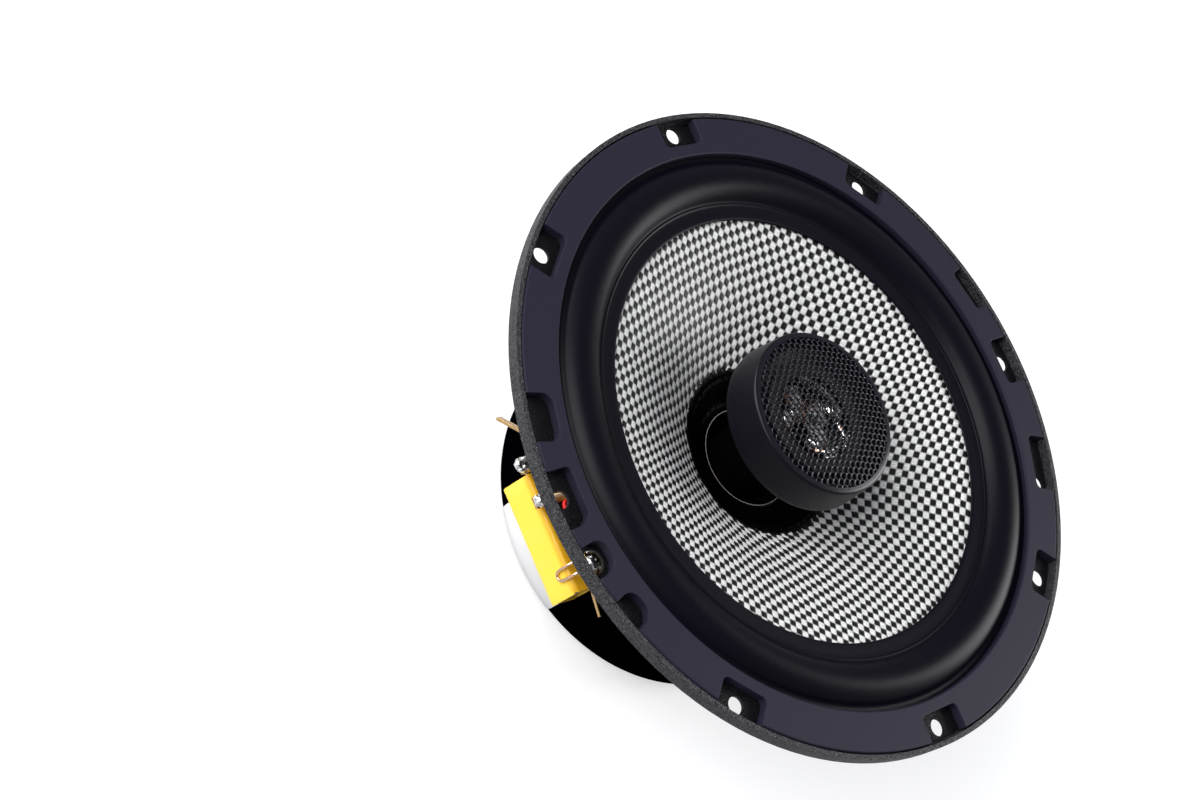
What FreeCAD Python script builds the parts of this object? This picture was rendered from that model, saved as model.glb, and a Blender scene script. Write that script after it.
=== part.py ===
import FreeCAD, Part
import math
import os
import re
import Sketcher
from FreeCAD import Placement, Rotation, Vector

# Coaxial car speaker, 6.5 inch class. Millimetres. The origin is the centre of the mounting
# face (the rear face of the basket's flange); +Z points forwards, out of the cone, and the
# terminals are on the -Y side. The magnet points along -Z.

SIZES = [
    # basket
    ("flange_radius", 82.5), ("flange_thick", 0.9), ("rim_inner_radius", 81.3), ("rim_height", 3.4),
    ("sheet_thick", 1.5), ("mouth_radius", 69.8), ("wall_mid_radius", 54.6), ("wall_mid_level", -13.6),
    ("bolt_circle_radius", 78), ("bolt_hole_radius", 2.1), ("extra_hole_circle", 77.5),
    ("extra_hole_radius", 2.4), ("sight_hole_circle", 78.2), ("sight_hole_radius", 2.85),
    ("window_low", -24.6), ("window_high", -11), ("window_angle", 69), ("window_outer_radius", 75),
    ("ledge_outer_radius", 46.8), ("ledge_inner_radius", 42), ("ledge_level", -26.2),
    ("seat_level", -33), ("seat_radius", 40), ("seat_bore_radius", 14.6),
    ("tab_half_width", 9), ("tab_inner_y", -53), ("tab_outer_y", -62),
    # trim
    ("trim_outer_radius", 81), ("trim_inner_radius", 71.2), ("trim_top", 3.5), ("trim_step_radius", 73.7),
    ("trim_underside", 1.7), ("trim_edge", 0.3), ("notch_inner_radius", 74.3), ("notch_width", 12.4),
    ("notch_corner", 1.5),
    # woofer moving parts
    ("roll_inner_radius", 58.8), ("roll_outer_radius", 69.3), ("roll_outer_arc", 6), ("roll_inner_arc", 5.05),
    ("roll_base", 1.1), ("rubber_thick", 0.7), ("foot_radius", 73.4), ("lip_inner_radius", 54.3),
    ("cone_rim_radius", 58.2), ("cone_neck_radius", 20.8), ("cone_neck_level", -17),
    ("cone_flare_radius", 105), ("cone_thick", 0.5), ("former_radius", 12.7), ("former_thick", 0.2),
    ("former_top", -21), ("former_bottom", -43.5), ("collar_base", -23), ("winding_radius", 13.3),
    ("winding_top", -33.2), ("winding_bottom", -42.6), ("spider_outer_radius", 46.3), ("spider_level", -25.8),
    ("spider_wave", 0.9), ("spider_first_crest", 15), ("spider_last_crest", 41.4), ("spider_thick", 0.5),
    # motor
    ("top_plate_radius", 40), ("top_plate_thick", 6), ("gap_outer_radius", 13.9), ("magnet_radius", 44.5),
    ("magnet_bore_radius", 17), ("magnet_thick", 17), ("magnet_edge", 1), ("back_plate_radius", 41),
    ("back_plate_thick", 6), ("back_plate_edge", 2.5), ("pole_radius", 12.1), ("pole_top", -35.2),
    ("pole_bore_radius", 5.1), ("counterbore_radius", 9.5), ("counterbore_depth", 4), ("boot_radius", 47),
    ("boot_front", -36), ("boot_back", -66), ("boot_mouth_radius", 30), ("boot_fillet", 7.5),
    ("boot_gap", 0.1),
    ("label_gap", 0.02), ("label_thick", 0.2), ("rivet_circle_radius", 30), ("rivet_radius", 2),
    ("rivet_head_radius", 3.3), ("rivet_head_thick", 1),
    # tweeter
    ("post_radius", 9), ("post_spigot_radius", 5), ("post_bore_radius", 3.8), ("post_bottom", -61.8),
    ("nut_corner_radius", 7.6), ("nut_thick", 2.4),
    ("cup_radius", 21.5), ("cup_rim_radius", 20.6), ("cup_rear", -3), ("cup_front", 9.3), ("cup_fillet", 2.5),
    ("cup_floor", -1.4), ("mesh_crown", 10.9), ("mesh_radius", 19.2), ("mesh_rim_level", 8.6),
    ("mesh_thick", 0.5), ("tweeter_yoke_radius", 13), ("tweeter_yoke_wall", 1.8), ("tweeter_yoke_floor", 1.3),
    ("tweeter_yoke_rear", 0.3), ("tweeter_gap_level", 5.3), ("tweeter_plate_thick", 1.4),
    ("tweeter_magnet_radius", 8.8), ("tweeter_coil_radius", 10.2), ("dome_crown", 8.3), ("dome_edge", 5.9),
    ("dome_thick", 0.15), ("faceplate_inner_radius", 14), ("faceplate_front", 7),
    # terminals
    ("board_level", -16.2), ("board_thick", 1.4), ("board_inner_y", -56), ("board_outer_y", -66.5),
    ("board_half_width", 20.5), ("wire_hole_y", -59.4), ("wire_hole_radius", 2.2),
    ("rivet_x", 5.8), ("small_rivet_radius", 1.2), ("small_head_thick", 0.6), ("blade_thick", 0.8),
    ("blade_width", 2.8), ("blade_outer_y", -69.9), ("blade_root_x", 19.7), ("blade_reach", 25.3),
    ("blade_drop", 5.6), ("strip_inner_y", -62.6), ("strip_outer_y", -65.8), ("tag_length", 1.4),
    ("capacitor_left", -10.5), ("capacitor_length", 28.8), ("capacitor_front", -70.3), ("capacitor_depth", 8),
    ("capacitor_height", 10.5), ("capacitor_fillet", 0.6), ("solder_y", -71.6),
    ("wire_radius", 0.5), ("lead_radius", 0.35), ("tinsel_radius", 0.6),
]

doc = FreeCAD.newDocument("coaxial_speaker")
sheet = doc.addObject("Spreadsheet::Sheet", "Sizes")
for row, (alias, value) in enumerate(SIZES, start=1):
    sheet.set(f"A{row}", alias)
    sheet.set(f"B{row}", str(value))
    sheet.setAlias(f"B{row}", alias)
doc.recompute()

NAMES = dict(SIZES)
pieces = []


def linked(text):
    """An expression with each size's name pointed at the sheet."""
    return re.sub(r"[a-z_]{3,}",
                  lambda word: "Sizes." + word.group() if word.group() in NAMES else word.group(), str(text))


def val(text):
    """The number that an expression of sizes gives now."""
    result = sheet.evalExpression(linked(text))
    return float(getattr(result, "Value", result))


def bind(item, prop, text):
    item.setExpression(prop, linked(text))


# ---------------------------------------------------------------- PartDesign helpers

def new_body(label):
    body = doc.addObject("PartDesign::Body", label)
    body.Label = label
    pieces.append(body)
    return body


def origin_plane(body, role):
    return [item for item in body.Origin.OriginFeatures if item.Role == role][0]


def outline(body, name, role, corners, offset=None):
    """A closed sketch through corners (x, y) held by expressions. A corner (x, y, radius, side) ends
    an arc from the corner before it; side is +1 when the arc bows to the left of that run."""
    sketch = body.newObject("Sketcher::SketchObject", name)
    sketch.AttachmentSupport = [(origin_plane(body, role), "")]
    sketch.MapMode = "FlatFace"
    if offset:
        sketch.AttachmentOffset = offset
    points = [Vector(val(corner[0]), val(corner[1]), 0) for corner in corners]
    count = len(corners)
    starts, ends, arcs = {}, {}, []
    for i in range(count):
        a, b = points[i], points[(i + 1) % count]
        goal = corners[(i + 1) % count]
        if len(goal) == 4:
            chord = b - a
            radius = val(goal[2])
            left = Vector(-chord.y, chord.x, 0).normalize() * goal[3]
            sagitta = radius - math.sqrt(max(radius**2 - (chord.Length / 2)**2, 0))
            sketch.addGeometry(Part.Arc(a, (a + b) * 0.5 + left * sagitta, b), False)
            arcs.append((i, goal[2]))
            swapped = goal[3] > 0
            starts[i], ends[i] = (2, 1) if swapped else (1, 2)
        else:
            sketch.addGeometry(Part.LineSegment(a, b), False)
            starts[i], ends[i] = 1, 2
    for i in range(count):
        after = (i + 1) % count
        sketch.addConstraint(Sketcher.Constraint("Coincident", i, ends[i], after, starts[after]))
    for i, corner in enumerate(corners):
        place = points[i]
        for axis, text, number in (("DistanceX", corner[0], place.x), ("DistanceY", corner[1], place.y)):
            at = sketch.addConstraint(Sketcher.Constraint(axis, -1, 1, i, starts[i], number))
            bind(sketch, f"Constraints[{at}]", text)
    for i, text in arcs:
        at = sketch.addConstraint(Sketcher.Constraint("Radius", i, val(text)))
        bind(sketch, f"Constraints[{at}]", text)
    return sketch


def revolve(body, corners, name="Profile", angle=360):
    """Turn a half-section, given as (radius, height) corners, about the Z axis."""
    sketch = outline(body, body.Label + name, "XZ_Plane", corners)
    feature = body.newObject("PartDesign::Revolution", body.Label + name + "Turn")
    feature.Profile = sketch
    feature.ReferenceAxis = (sketch, ["V_Axis"])
    feature.Angle = angle
    body.Tip = feature
    return feature


def turned(label, corners):
    body = new_body(label)
    revolve(body, corners)
    return body


def box_corners(r1, r2, z1, z2):
    return [(r1, z1), (r2, z1), (r2, z2), (r1, z2)]


def circle_sketch(body, name, x, y, radius, offset=None):
    sketch = body.newObject("Sketcher::SketchObject", name)
    sketch.AttachmentSupport = [(origin_plane(body, "XY_Plane"), "")]
    sketch.MapMode = "FlatFace"
    if offset:
        sketch.AttachmentOffset = offset
    sketch.addGeometry(Part.Circle(Vector(val(x), val(y), 0), Vector(0, 0, 1), val(radius)), False)
    for axis, text in (("DistanceX", x), ("DistanceY", y)):
        at = sketch.addConstraint(Sketcher.Constraint(axis, -1, 1, 0, 3, val(text)))
        bind(sketch, f"Constraints[{at}]", text)
    at = sketch.addConstraint(Sketcher.Constraint("Radius", 0, val(radius)))
    bind(sketch, f"Constraints[{at}]", radius)
    return sketch


def cut_through(body, sketch, depth=100):
    """Pocket both ways from the sketch and make sure that it removed something."""
    before = body.Shape.Volume
    pocket = body.newObject("PartDesign::Pocket", sketch.Name + "Cut")
    pocket.Profile = sketch
    pocket.Midplane = True
    pocket.Length = depth
    body.Tip = pocket
    doc.recompute()
    assert body.Shape.Volume < before - 0.01, sketch.Name
    return pocket


def around(body, feature, count):
    pattern = body.newObject("PartDesign::PolarPattern", feature.Name + "Ring")
    pattern.Originals = [feature]
    pattern.Axis = (feature.Profile[0], ["N_Axis"])
    pattern.Angle = 360
    pattern.Occurrences = count
    body.Tip = pattern
    doc.recompute()
    return pattern


def turned_to(angle):
    return Placement(Vector(), Rotation(Vector(0, 0, 1), angle))


# ---------------------------------------------------------------- Part helpers

def feature(kind, name, **bindings):
    item = doc.addObject(kind, name)
    for prop, text in bindings.items():
        bind(item, prop, text)
    return item


def finished(item, label):
    item.Label = label
    pieces.append(item)
    return item


def joined(name, items):
    union = doc.addObject("Part::MultiFuse", name)
    union.Shapes = items
    return union


def less(name, base, tool):
    cut = doc.addObject("Part::Cut", name)
    cut.Base = base
    cut.Tool = tool
    return cut


def rounded_path(points, share=0.45):
    """Straight runs joined by tangent arcs, each as large as its two runs allow."""
    points = [Vector(*point) for point in points]
    edges, here, radii = [], points[0], []
    for before, corner, after in zip(points, points[1:], points[2:]):
        back, ahead = before - corner, after - corner
        reach = share * min(back.Length, ahead.Length)
        turn = math.pi - back.getAngle(ahead)
        radii.append(reach / math.tan(turn / 2))
        back.normalize()
        ahead.normalize()
        first, last = corner + back * reach, corner + ahead * reach
        inward = (back + ahead).normalize()
        middle = corner + inward * (radii[-1] / math.cos(turn / 2) - radii[-1])
        edges.append(Part.LineSegment(here, first).toShape())
        edges.append(Part.Arc(first, middle, last).toShape())
        here = last
    edges.append(Part.LineSegment(here, points[-1]).toShape())
    return Part.Wire(edges), radii


def tube(label, points, radius):
    """A round wire along a route, as one closed solid."""
    path, radii = rounded_path(points)
    start = path.Edges[0]
    direction = start.tangentAt(start.FirstParameter)
    ring = Part.Wire([Part.Circle(Vector(*points[0]), direction, radius).toShape()])
    solid = path.makePipeShell([ring], True, True)
    expected = math.pi * radius**2 * path.Length
    print(f"{label}: length {path.Length:.1f}, volume {solid.Volume:.1f} of {expected:.1f},",
          "radii", [round(value, 1) for value in radii])
    item = doc.addObject("Part::Feature", label)
    item.Shape = solid
    return finished(item, label)


# ---------------------------------------------------------------- basket and trim

BOARD_OFFSET = Placement(Vector(0, 0, val("board_level")), Rotation())


def basket():
    body = new_body("basket")
    revolve(body, [
        ("mouth_radius + 1.4", "0"), ("flange_radius", "0"), ("flange_radius", "rim_height"),
        ("rim_inner_radius", "rim_height"), ("rim_inner_radius", "flange_thick"),
        ("mouth_radius", "flange_thick"), ("mouth_radius - 0.4", "-0.2"), ("mouth_radius - 3.4", "-5.2"),
        ("wall_mid_radius", "wall_mid_level"), ("ledge_outer_radius + 1.2", "ledge_level + 3.6"),
        ("ledge_outer_radius", "ledge_level"),
        ("ledge_inner_radius", "ledge_level"), ("seat_radius", "seat_level"),
        ("seat_bore_radius", "seat_level"), ("seat_bore_radius", "seat_level - sheet_thick"),
        ("seat_radius + 1.6", "seat_level - sheet_thick"),
        ("ledge_inner_radius + 1.4", "ledge_level - sheet_thick"),
        ("ledge_outer_radius + 1.5", "ledge_level - sheet_thick"),
        ("ledge_outer_radius + 2.7", "ledge_level + 3.2"), ("wall_mid_radius + 1.2", "wall_mid_level - 1"),
        ("mouth_radius - 2.2", "-6.2")])
    doc.recompute()
    # a tab on the rib at -Y carries the terminal board; the tweeter's wires pass through it
    tab = outline(body, "TabOutline", "XY_Plane", [
        ("-tab_half_width", "tab_outer_y"), ("tab_half_width", "tab_outer_y"),
        ("tab_half_width", "tab_inner_y"), ("-tab_half_width", "tab_inner_y")],
        Placement(Vector(0, 0, val("board_level - sheet_thick")), Rotation()))
    tab_pad = body.newObject("PartDesign::Pad", "TabPad")
    tab_pad.Profile = tab
    bind(tab_pad, "Length", "sheet_thick")
    body.Tip = tab_pad
    doc.recompute()
    # windows between the four ribs
    opening = box_corners("ledge_outer_radius - 4", "window_outer_radius", "window_low", "window_high")
    window = outline(body, "WindowProfile", "XZ_Plane", opening,
                     Placement(Vector(), Rotation(Vector(0, 1, 0), 45)))
    window_cut = body.newObject("PartDesign::Groove", "WindowCut")
    window_cut.Profile = window
    window_cut.ReferenceAxis = (window, ["V_Axis"])
    window_cut.Midplane = True
    bind(window_cut, "Angle", "window_angle")
    body.Tip = window_cut
    doc.recompute()
    before = body.Shape.Volume
    ring = body.newObject("PartDesign::PolarPattern", "WindowRing")
    ring.Originals = [window_cut]
    ring.Axis = (window, ["V_Axis"])
    ring.Angle = 360
    ring.Occurrences = 4
    body.Tip = ring
    doc.recompute()
    assert body.Shape.Volume < before - 100
    for name, x, radius in (("TabWireHole", "0", "wire_hole_radius"),
                            ("TabRivetHoleLeft", "-rivet_x", "small_rivet_radius"),
                            ("TabRivetHoleRight", "rivet_x", "small_rivet_radius")):
        cut_through(body, circle_sketch(body, name, x, "wire_hole_y", radius, BOARD_OFFSET), 6)
    # eight bolt holes, an extra locating hole and a sight hole over the terminals
    around(body, cut_through(body, circle_sketch(body, "BoltHole", "bolt_circle_radius", "0",
                                                 "bolt_hole_radius"), 8), 8)
    for name, angle, key in (("ExtraHole", 64.9, "extra_hole"), ("SightHole", 281.2, "sight_hole")):
        hole = circle_sketch(body, name, key + "_circle", "0", key + "_radius", turned_to(angle))
        cut_through(body, hole, 8)
    # holes in the seat for the rivets that hold the top plate
    hole = circle_sketch(body, "SeatRivetHole", "rivet_circle_radius", "0", "rivet_radius", turned_to(45))
    around(body, cut_through(body, hole), 4)
    return body


def notch(body, name, angle, inner, width, corner):
    """An outward-open notch with rounded inner corners, centred on an azimuth."""
    half = f"({width}) / 2"
    outer = "trim_outer_radius + 2"
    sketch = outline(body, name, "XY_Plane", [
        (outer, f"-{half}"), (outer, half), (f"{inner} + {corner}", half),
        (inner, f"{half} - {corner}", corner, -1), (inner, f"-({half} - {corner})"),
        (f"{inner} + {corner}", f"-{half}", corner, -1)], turned_to(angle))
    return cut_through(body, sketch, 20)


def trim_ring():
    body = turned("trim_ring", [
        ("trim_step_radius", "flange_thick"), ("trim_outer_radius", "flange_thick"),
        ("trim_outer_radius", "trim_top - trim_edge"), ("trim_outer_radius - trim_edge", "trim_top"),
        ("trim_inner_radius + trim_edge", "trim_top"), ("trim_inner_radius", "trim_top - trim_edge"),
        ("trim_inner_radius", "trim_underside"), ("trim_step_radius", "trim_underside")])
    doc.recompute()
    around(body, notch(body, "HoleNotch", 0, "notch_inner_radius", "notch_width", "notch_corner"), 8)
    for name, angle, inner, width, corner in (
            ("ExtraHoleNotch", 68.7, "74.8", "14.6", "notch_corner"),
            ("BlankNotch", 105.5, "76.8", "11.6", "notch_corner"),
            ("OffsetNotch", 256.5, "trim_step_radius + 0.3", "11.4", "3.2"),
            ("WireNotch", 273.6, "75.2", "4.6", "2.2"),
            ("SightNotch", 281.2, "74.5", "7.8", "3.2"), ("SmallNotch", 291, "75.2", "7.8", "3.2")):
        notch(body, name, angle, inner, width, corner)
    return body


# ---------------------------------------------------------------- woofer moving parts

def surround():
    return turned("surround", [
        ("foot_radius", "flange_thick"), ("foot_radius", "flange_thick + rubber_thick"),
        ("roll_outer_radius + 0.4", "flange_thick + rubber_thick"),
        ("roll_inner_radius - 0.4", "roll_base + rubber_thick - 0.3", "roll_outer_arc", -1),
        ("lip_inner_radius", "0.9"), ("lip_inner_radius", "0.4"),
        ("roll_inner_radius + 0.3", "0.4"), ("roll_outer_radius - 0.3", "flange_thick", "roll_inner_arc", 1)])


def spider():
    """A corrugated disc: straight flanks between crests, from the former to the basket's ledge."""
    waves = 7
    under = [("former_radius + 0.3", "spider_level")]
    for i in range(2 * waves + 1):
        share = i / (2 * waves)
        under.append((f"spider_first_crest + (spider_last_crest - spider_first_crest) * {share:.6f}",
                      f"spider_level + {(-1)**i} * spider_wave"))
    under += [("ledge_inner_radius + 0.6", "ledge_level"), ("spider_outer_radius", "ledge_level")]
    over = [(radius, f"{level} + spider_thick") for radius, level in reversed(under)]
    return turned("spider", under + over)


def cone():
    """A shallow flared cone: its wall bows a little forwards of the straight line."""
    return turned("cone", [
        ("cone_neck_radius", "cone_neck_level - cone_thick"),
        ("lip_inner_radius", "-cone_thick", "cone_flare_radius", 1), ("cone_rim_radius", "-cone_thick + 0.1"),
        ("cone_rim_radius", "0.3"), ("lip_inner_radius - 0.3", "0"),
        ("cone_neck_radius", "cone_neck_level", "cone_flare_radius", -1)])


def cone_collar():
    return turned("cone_collar", [
        ("former_radius + 0.02", "collar_base"), ("15.5", "collar_base + 0.3"),
        ("cone_neck_radius - 0.05", "cone_neck_level - cone_thick"),
        ("cone_neck_radius - 0.05", "cone_neck_level"),
        ("19.4", "cone_neck_level"), ("14.6", "collar_base + 1.7"),
        ("former_radius + 0.02", "collar_base + 1.5")])


def voice_coil():
    inner = "former_radius - former_thick"
    turned("voice_coil_former", box_corners(inner, "former_radius", "former_bottom", "former_top"))
    turned("voice_coil_winding",
           box_corners("former_radius + 0.02", "winding_radius", "winding_bottom", "winding_top"))


# ---------------------------------------------------------------- motor

PLATE_REAR = "(seat_level - sheet_thick - top_plate_thick)"
MAGNET_REAR = f"({PLATE_REAR} - magnet_thick)"
YOKE_REAR = f"({MAGNET_REAR} - back_plate_thick)"


def motor():
    plate = turned("top_plate", box_corners("gap_outer_radius", "top_plate_radius", PLATE_REAR,
                                            "seat_level - sheet_thick"))
    doc.recompute()
    hole = circle_sketch(plate, "RivetHole", "rivet_circle_radius", "0", "rivet_radius", turned_to(45))
    around(plate, cut_through(plate, hole), 4)
    turned("magnet_ring", [
        ("magnet_bore_radius", MAGNET_REAR), ("magnet_radius - magnet_edge", MAGNET_REAR),
        ("magnet_radius", f"{MAGNET_REAR} + magnet_edge"), ("magnet_radius", f"{PLATE_REAR} - magnet_edge"),
        ("magnet_radius - magnet_edge", PLATE_REAR), ("magnet_bore_radius", PLATE_REAR)])
    turned("yoke", [
        ("pole_bore_radius", f"{YOKE_REAR} + counterbore_depth"),
        ("counterbore_radius", f"{YOKE_REAR} + counterbore_depth"), ("counterbore_radius", YOKE_REAR),
        ("back_plate_radius - back_plate_edge", YOKE_REAR),
        ("back_plate_radius", f"{YOKE_REAR} + back_plate_edge"),
        ("back_plate_radius", MAGNET_REAR), ("pole_radius", MAGNET_REAR), ("pole_radius", "pole_top - 1"),
        ("pole_radius - 1", "pole_top"), ("pole_bore_radius", "pole_top")])


def basket_rivets():
    """Four rivets that clamp the basket's seat to the top plate."""
    turned_rivets = []
    for i in range(4):
        shank = feature("Part::Cylinder", f"RivetShank{i}", Radius="rivet_radius - 0.05",
                        Height=f"seat_level - {PLATE_REAR}")
        head = feature("Part::Cone", f"RivetHead{i}", Radius1="rivet_head_radius",
                       Radius2="rivet_head_radius - rivet_head_thick", Height="rivet_head_thick")
        azimuth = math.radians(45 + 90 * i)
        for item, level in ((shank, PLATE_REAR), (head, "seat_level")):
            bind(item, "Placement.Base.x", f"rivet_circle_radius * {math.cos(azimuth)}")
            bind(item, "Placement.Base.y", f"rivet_circle_radius * {math.sin(azimuth)}")
            bind(item, "Placement.Base.z", level)
        turned_rivets += [shank, head]
    finished(joined("BasketRivets", turned_rivets), "basket_rivets")


def boot():
    inner = "magnet_radius + boot_gap"
    body = turned("magnet_boot", [
        ("boot_mouth_radius", "boot_back"), ("boot_radius - boot_fillet", "boot_back"),
        ("boot_radius", "boot_back + boot_fillet", "boot_fillet", -1), ("boot_radius", "boot_front - 0.8"),
        ("boot_radius - 0.8", "boot_front"), (inner, "boot_front"), (inner, MAGNET_REAR),
        ("back_plate_radius + boot_gap", MAGNET_REAR),
        ("back_plate_radius + boot_gap", f"{YOKE_REAR} + back_plate_edge"),
        ("back_plate_radius - back_plate_edge + boot_gap", f"{YOKE_REAR} - boot_gap"),
        ("boot_mouth_radius + 0.6", f"{YOKE_REAR} - boot_gap"), ("boot_mouth_radius", f"{YOKE_REAR} - 0.7")])
    doc.recompute()
    # a channel inside the boot lets the tweeter's wires past the magnet
    before = body.Shape.Volume
    channel = outline(body, "WireChannel", "XZ_Plane", [
        ("boot_mouth_radius - 1", "boot_back + 1"), ("boot_radius - 7", "boot_back + 1"),
        ("boot_radius - 3.8", "boot_back + 1.9"), ("boot_radius - 1", "boot_back + 6.6"),
        ("boot_radius - 1", "boot_front + 1"), ("boot_mouth_radius - 1", "boot_front + 1")])
    groove = body.newObject("PartDesign::Groove", "WireChannelCut")
    groove.Profile = channel
    groove.ReferenceAxis = (channel, ["V_Axis"])
    groove.Midplane = True
    groove.Angle = 7
    body.Tip = groove
    doc.recompute()
    print("boot channel removes", round(before - body.Shape.Volume, 1))
    assert body.Shape.Volume < before - 10
    body.Placement = turned_to(-90)
    return body


def magnet_label():
    """A blank sticker on the boot's side that wraps half way over its rear fillet."""
    centre, low, high = "boot_radius - boot_fillet", "boot_back + boot_fillet", "boot_front - 1"
    inner, outer = "(boot_fillet + label_gap)", "(boot_fillet + label_gap + label_thick)"
    half_way = f"{math.sqrt(0.5):.6f}"
    body = turned("magnet_label", [
        (f"{centre} + {inner}", high), (f"{centre} + {inner}", low),
        (f"{centre} + {inner} * {half_way}", f"{low} - {inner} * {half_way}", inner, 1),
        (f"{centre} + {outer} * {half_way}", f"{low} - {outer} * {half_way}"),
        (f"{centre} + {outer}", low, outer, -1), (f"{centre} + {outer}", high)])
    body.Tip.Angle = 35
    body.Placement = turned_to(254)


# ---------------------------------------------------------------- tweeter

def sphere(edge, rise):
    """The radius of the sphere whose cap has this edge radius and this rise."""
    return f"((({edge})^2 + ({rise})^2) / (2 * ({rise})))"


DOME_SPHERE = sphere("tweeter_coil_radius + 0.4", "dome_crown - dome_thick - dome_edge")


def tweeter():
    turned("tweeter_post", [
        ("post_bore_radius", "post_bottom"), ("post_spigot_radius", "post_bottom"),
        ("post_spigot_radius", "pole_top"), ("post_radius", "pole_top"), ("post_radius", "cup_rear - 1.5"),
        ("post_radius + 1.5", "cup_rear"), ("post_spigot_radius", "cup_rear"),
        ("post_spigot_radius", "cup_floor - 0.1"), ("post_bore_radius", "cup_floor - 0.1")])
    nut = new_body("post_nut")
    corners = []
    for i in range(6):
        angle = math.radians(60 * i)
        shares = math.cos(angle), math.sin(angle)
        corners.append(tuple(f"nut_corner_radius * {share:.6f}" for share in shares))
    hexagon = outline(nut, "NutHexagon", "XY_Plane", corners)
    pad = nut.newObject("PartDesign::Pad", "NutPad")
    pad.Profile = hexagon
    bind(pad, "Length", "nut_thick")
    nut.Tip = pad
    doc.recompute()
    cut_through(nut, circle_sketch(nut, "NutBore", "0", "0", "post_spigot_radius + 0.02"), 20)
    nut.Placement.Base.z = val(f"{YOKE_REAR} + counterbore_depth - nut_thick - 0.02")
    turned("tweeter_cup", [
        ("post_spigot_radius + 0.05", "cup_rear"), ("cup_radius - cup_fillet", "cup_rear"),
        ("cup_radius", "cup_rear + cup_fillet", "cup_fillet", -1), ("cup_rim_radius", "cup_front - 0.3"),
        ("cup_rim_radius - 0.4", "cup_front"), ("mesh_radius + 0.4", "cup_front"),
        ("mesh_radius + 0.1", "cup_front - 0.4"), ("mesh_radius + 0.1", "cup_floor + 2"),
        ("mesh_radius - 1.4", "cup_floor"), ("post_spigot_radius + 0.05", "cup_floor")])
    turned("tweeter_grille", [
        ("mesh_radius - 1", "faceplate_front + 0.05"), ("mesh_radius", "faceplate_front + 0.05"),
        ("mesh_radius", "mesh_rim_level"),
        ("0", "mesh_crown", sphere("mesh_radius", "mesh_crown - mesh_rim_level"), -1),
        ("0", "mesh_crown - mesh_thick"),
        ("mesh_radius - 1", "mesh_rim_level - mesh_thick",
         sphere("mesh_radius - 1", "mesh_crown - mesh_rim_level"), 1)])
    turned("tweeter_faceplate", [
        ("tweeter_yoke_radius + 0.1", "tweeter_gap_level - 1.6"), ("mesh_radius", "tweeter_gap_level - 1.6"),
        ("mesh_radius", "faceplate_front"), ("mesh_radius - 2.2", "faceplate_front"),
        ("faceplate_inner_radius + 0.6", "tweeter_gap_level + 0.6"),
        ("faceplate_inner_radius", "tweeter_gap_level + 0.2"),
        ("faceplate_inner_radius", "tweeter_gap_level - 0.2"),
        ("tweeter_yoke_radius + 0.1", "tweeter_gap_level - 0.2")])
    wall, floor = "tweeter_yoke_radius - tweeter_yoke_wall", "tweeter_yoke_rear + tweeter_yoke_floor"
    plate_rear = "tweeter_gap_level - 0.1 - tweeter_plate_thick"
    turned("tweeter_yoke", [
        ("0", "tweeter_yoke_rear"), ("tweeter_yoke_radius - 1", "tweeter_yoke_rear"),
        ("tweeter_yoke_radius", "tweeter_yoke_rear + 1"), ("tweeter_yoke_radius", "tweeter_gap_level - 0.3"),
        (wall, "tweeter_gap_level - 0.3"), (wall, floor), ("0", floor)])
    turned("tweeter_magnet", box_corners("0", "tweeter_magnet_radius", floor, plate_rear))
    turned("tweeter_pole_plate",
           box_corners("0", "tweeter_magnet_radius + 0.7", plate_rear, "tweeter_gap_level - 0.1"))
    turned("tweeter_suspension", [
        ("tweeter_coil_radius + 0.5", "dome_edge - 0.1"), ("tweeter_coil_radius + 0.8", "dome_edge - 0.1"),
        ("tweeter_coil_radius + 3.4", "dome_edge - 0.1", "1.45", 1),
        ("faceplate_inner_radius + 0.3", "dome_edge - 0.1"),
        ("faceplate_inner_radius + 0.3", "dome_edge + 0.1"), ("tweeter_coil_radius + 3.5", "dome_edge + 0.1"),
        ("tweeter_coil_radius + 0.7", "dome_edge + 0.1", "1.6", -1),
        ("tweeter_coil_radius + 0.5", "dome_edge + 0.1")])
    turned("tweeter_dome", [
        ("0", "dome_crown - dome_thick"), ("tweeter_coil_radius + 0.4", "dome_edge", DOME_SPHERE, 1),
        ("tweeter_coil_radius + 0.4", "dome_edge + dome_thick"), ("0", "dome_crown", DOME_SPHERE, -1)])
    turned("tweeter_coil_former", box_corners("tweeter_coil_radius - 0.1", "tweeter_coil_radius",
                                              "tweeter_gap_level - 1.9", "dome_edge - 0.02"))
    turned("tweeter_coil_winding", box_corners("tweeter_coil_radius + 0.01", "tweeter_coil_radius + 0.4",
                                               "tweeter_gap_level - 1.8", "tweeter_gap_level + 0.1"))


# ---------------------------------------------------------------- terminals

BOARD_TOP = "(board_level + board_thick)"
STRIP_TOP = "(board_level + board_thick + blade_thick)"


def terminal_board():
    board = feature("Part::Box", "BoardBlank", Length="board_half_width * 2",
                    Width="board_inner_y - board_outer_y", Height="board_thick")
    bind(board, "Placement.Base.x", "-board_half_width")
    bind(board, "Placement.Base.y", "board_outer_y")
    bind(board, "Placement.Base.z", "board_level")
    drills = []
    for i, (x, radius) in enumerate((("0", "wire_hole_radius"), ("rivet_x", "small_rivet_radius"),
                                     ("-rivet_x", "small_rivet_radius"))):
        drill = feature("Part::Cylinder", f"BoardDrill{i}", Radius=radius, Height="board_thick + 2")
        bind(drill, "Placement.Base.x", x)
        bind(drill, "Placement.Base.y", "wire_hole_y")
        bind(drill, "Placement.Base.z", "board_level - 1")
        drills.append(drill)
    finished(less("TerminalBoard", board, joined("BoardDrills", drills)), "terminal_board")


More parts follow.
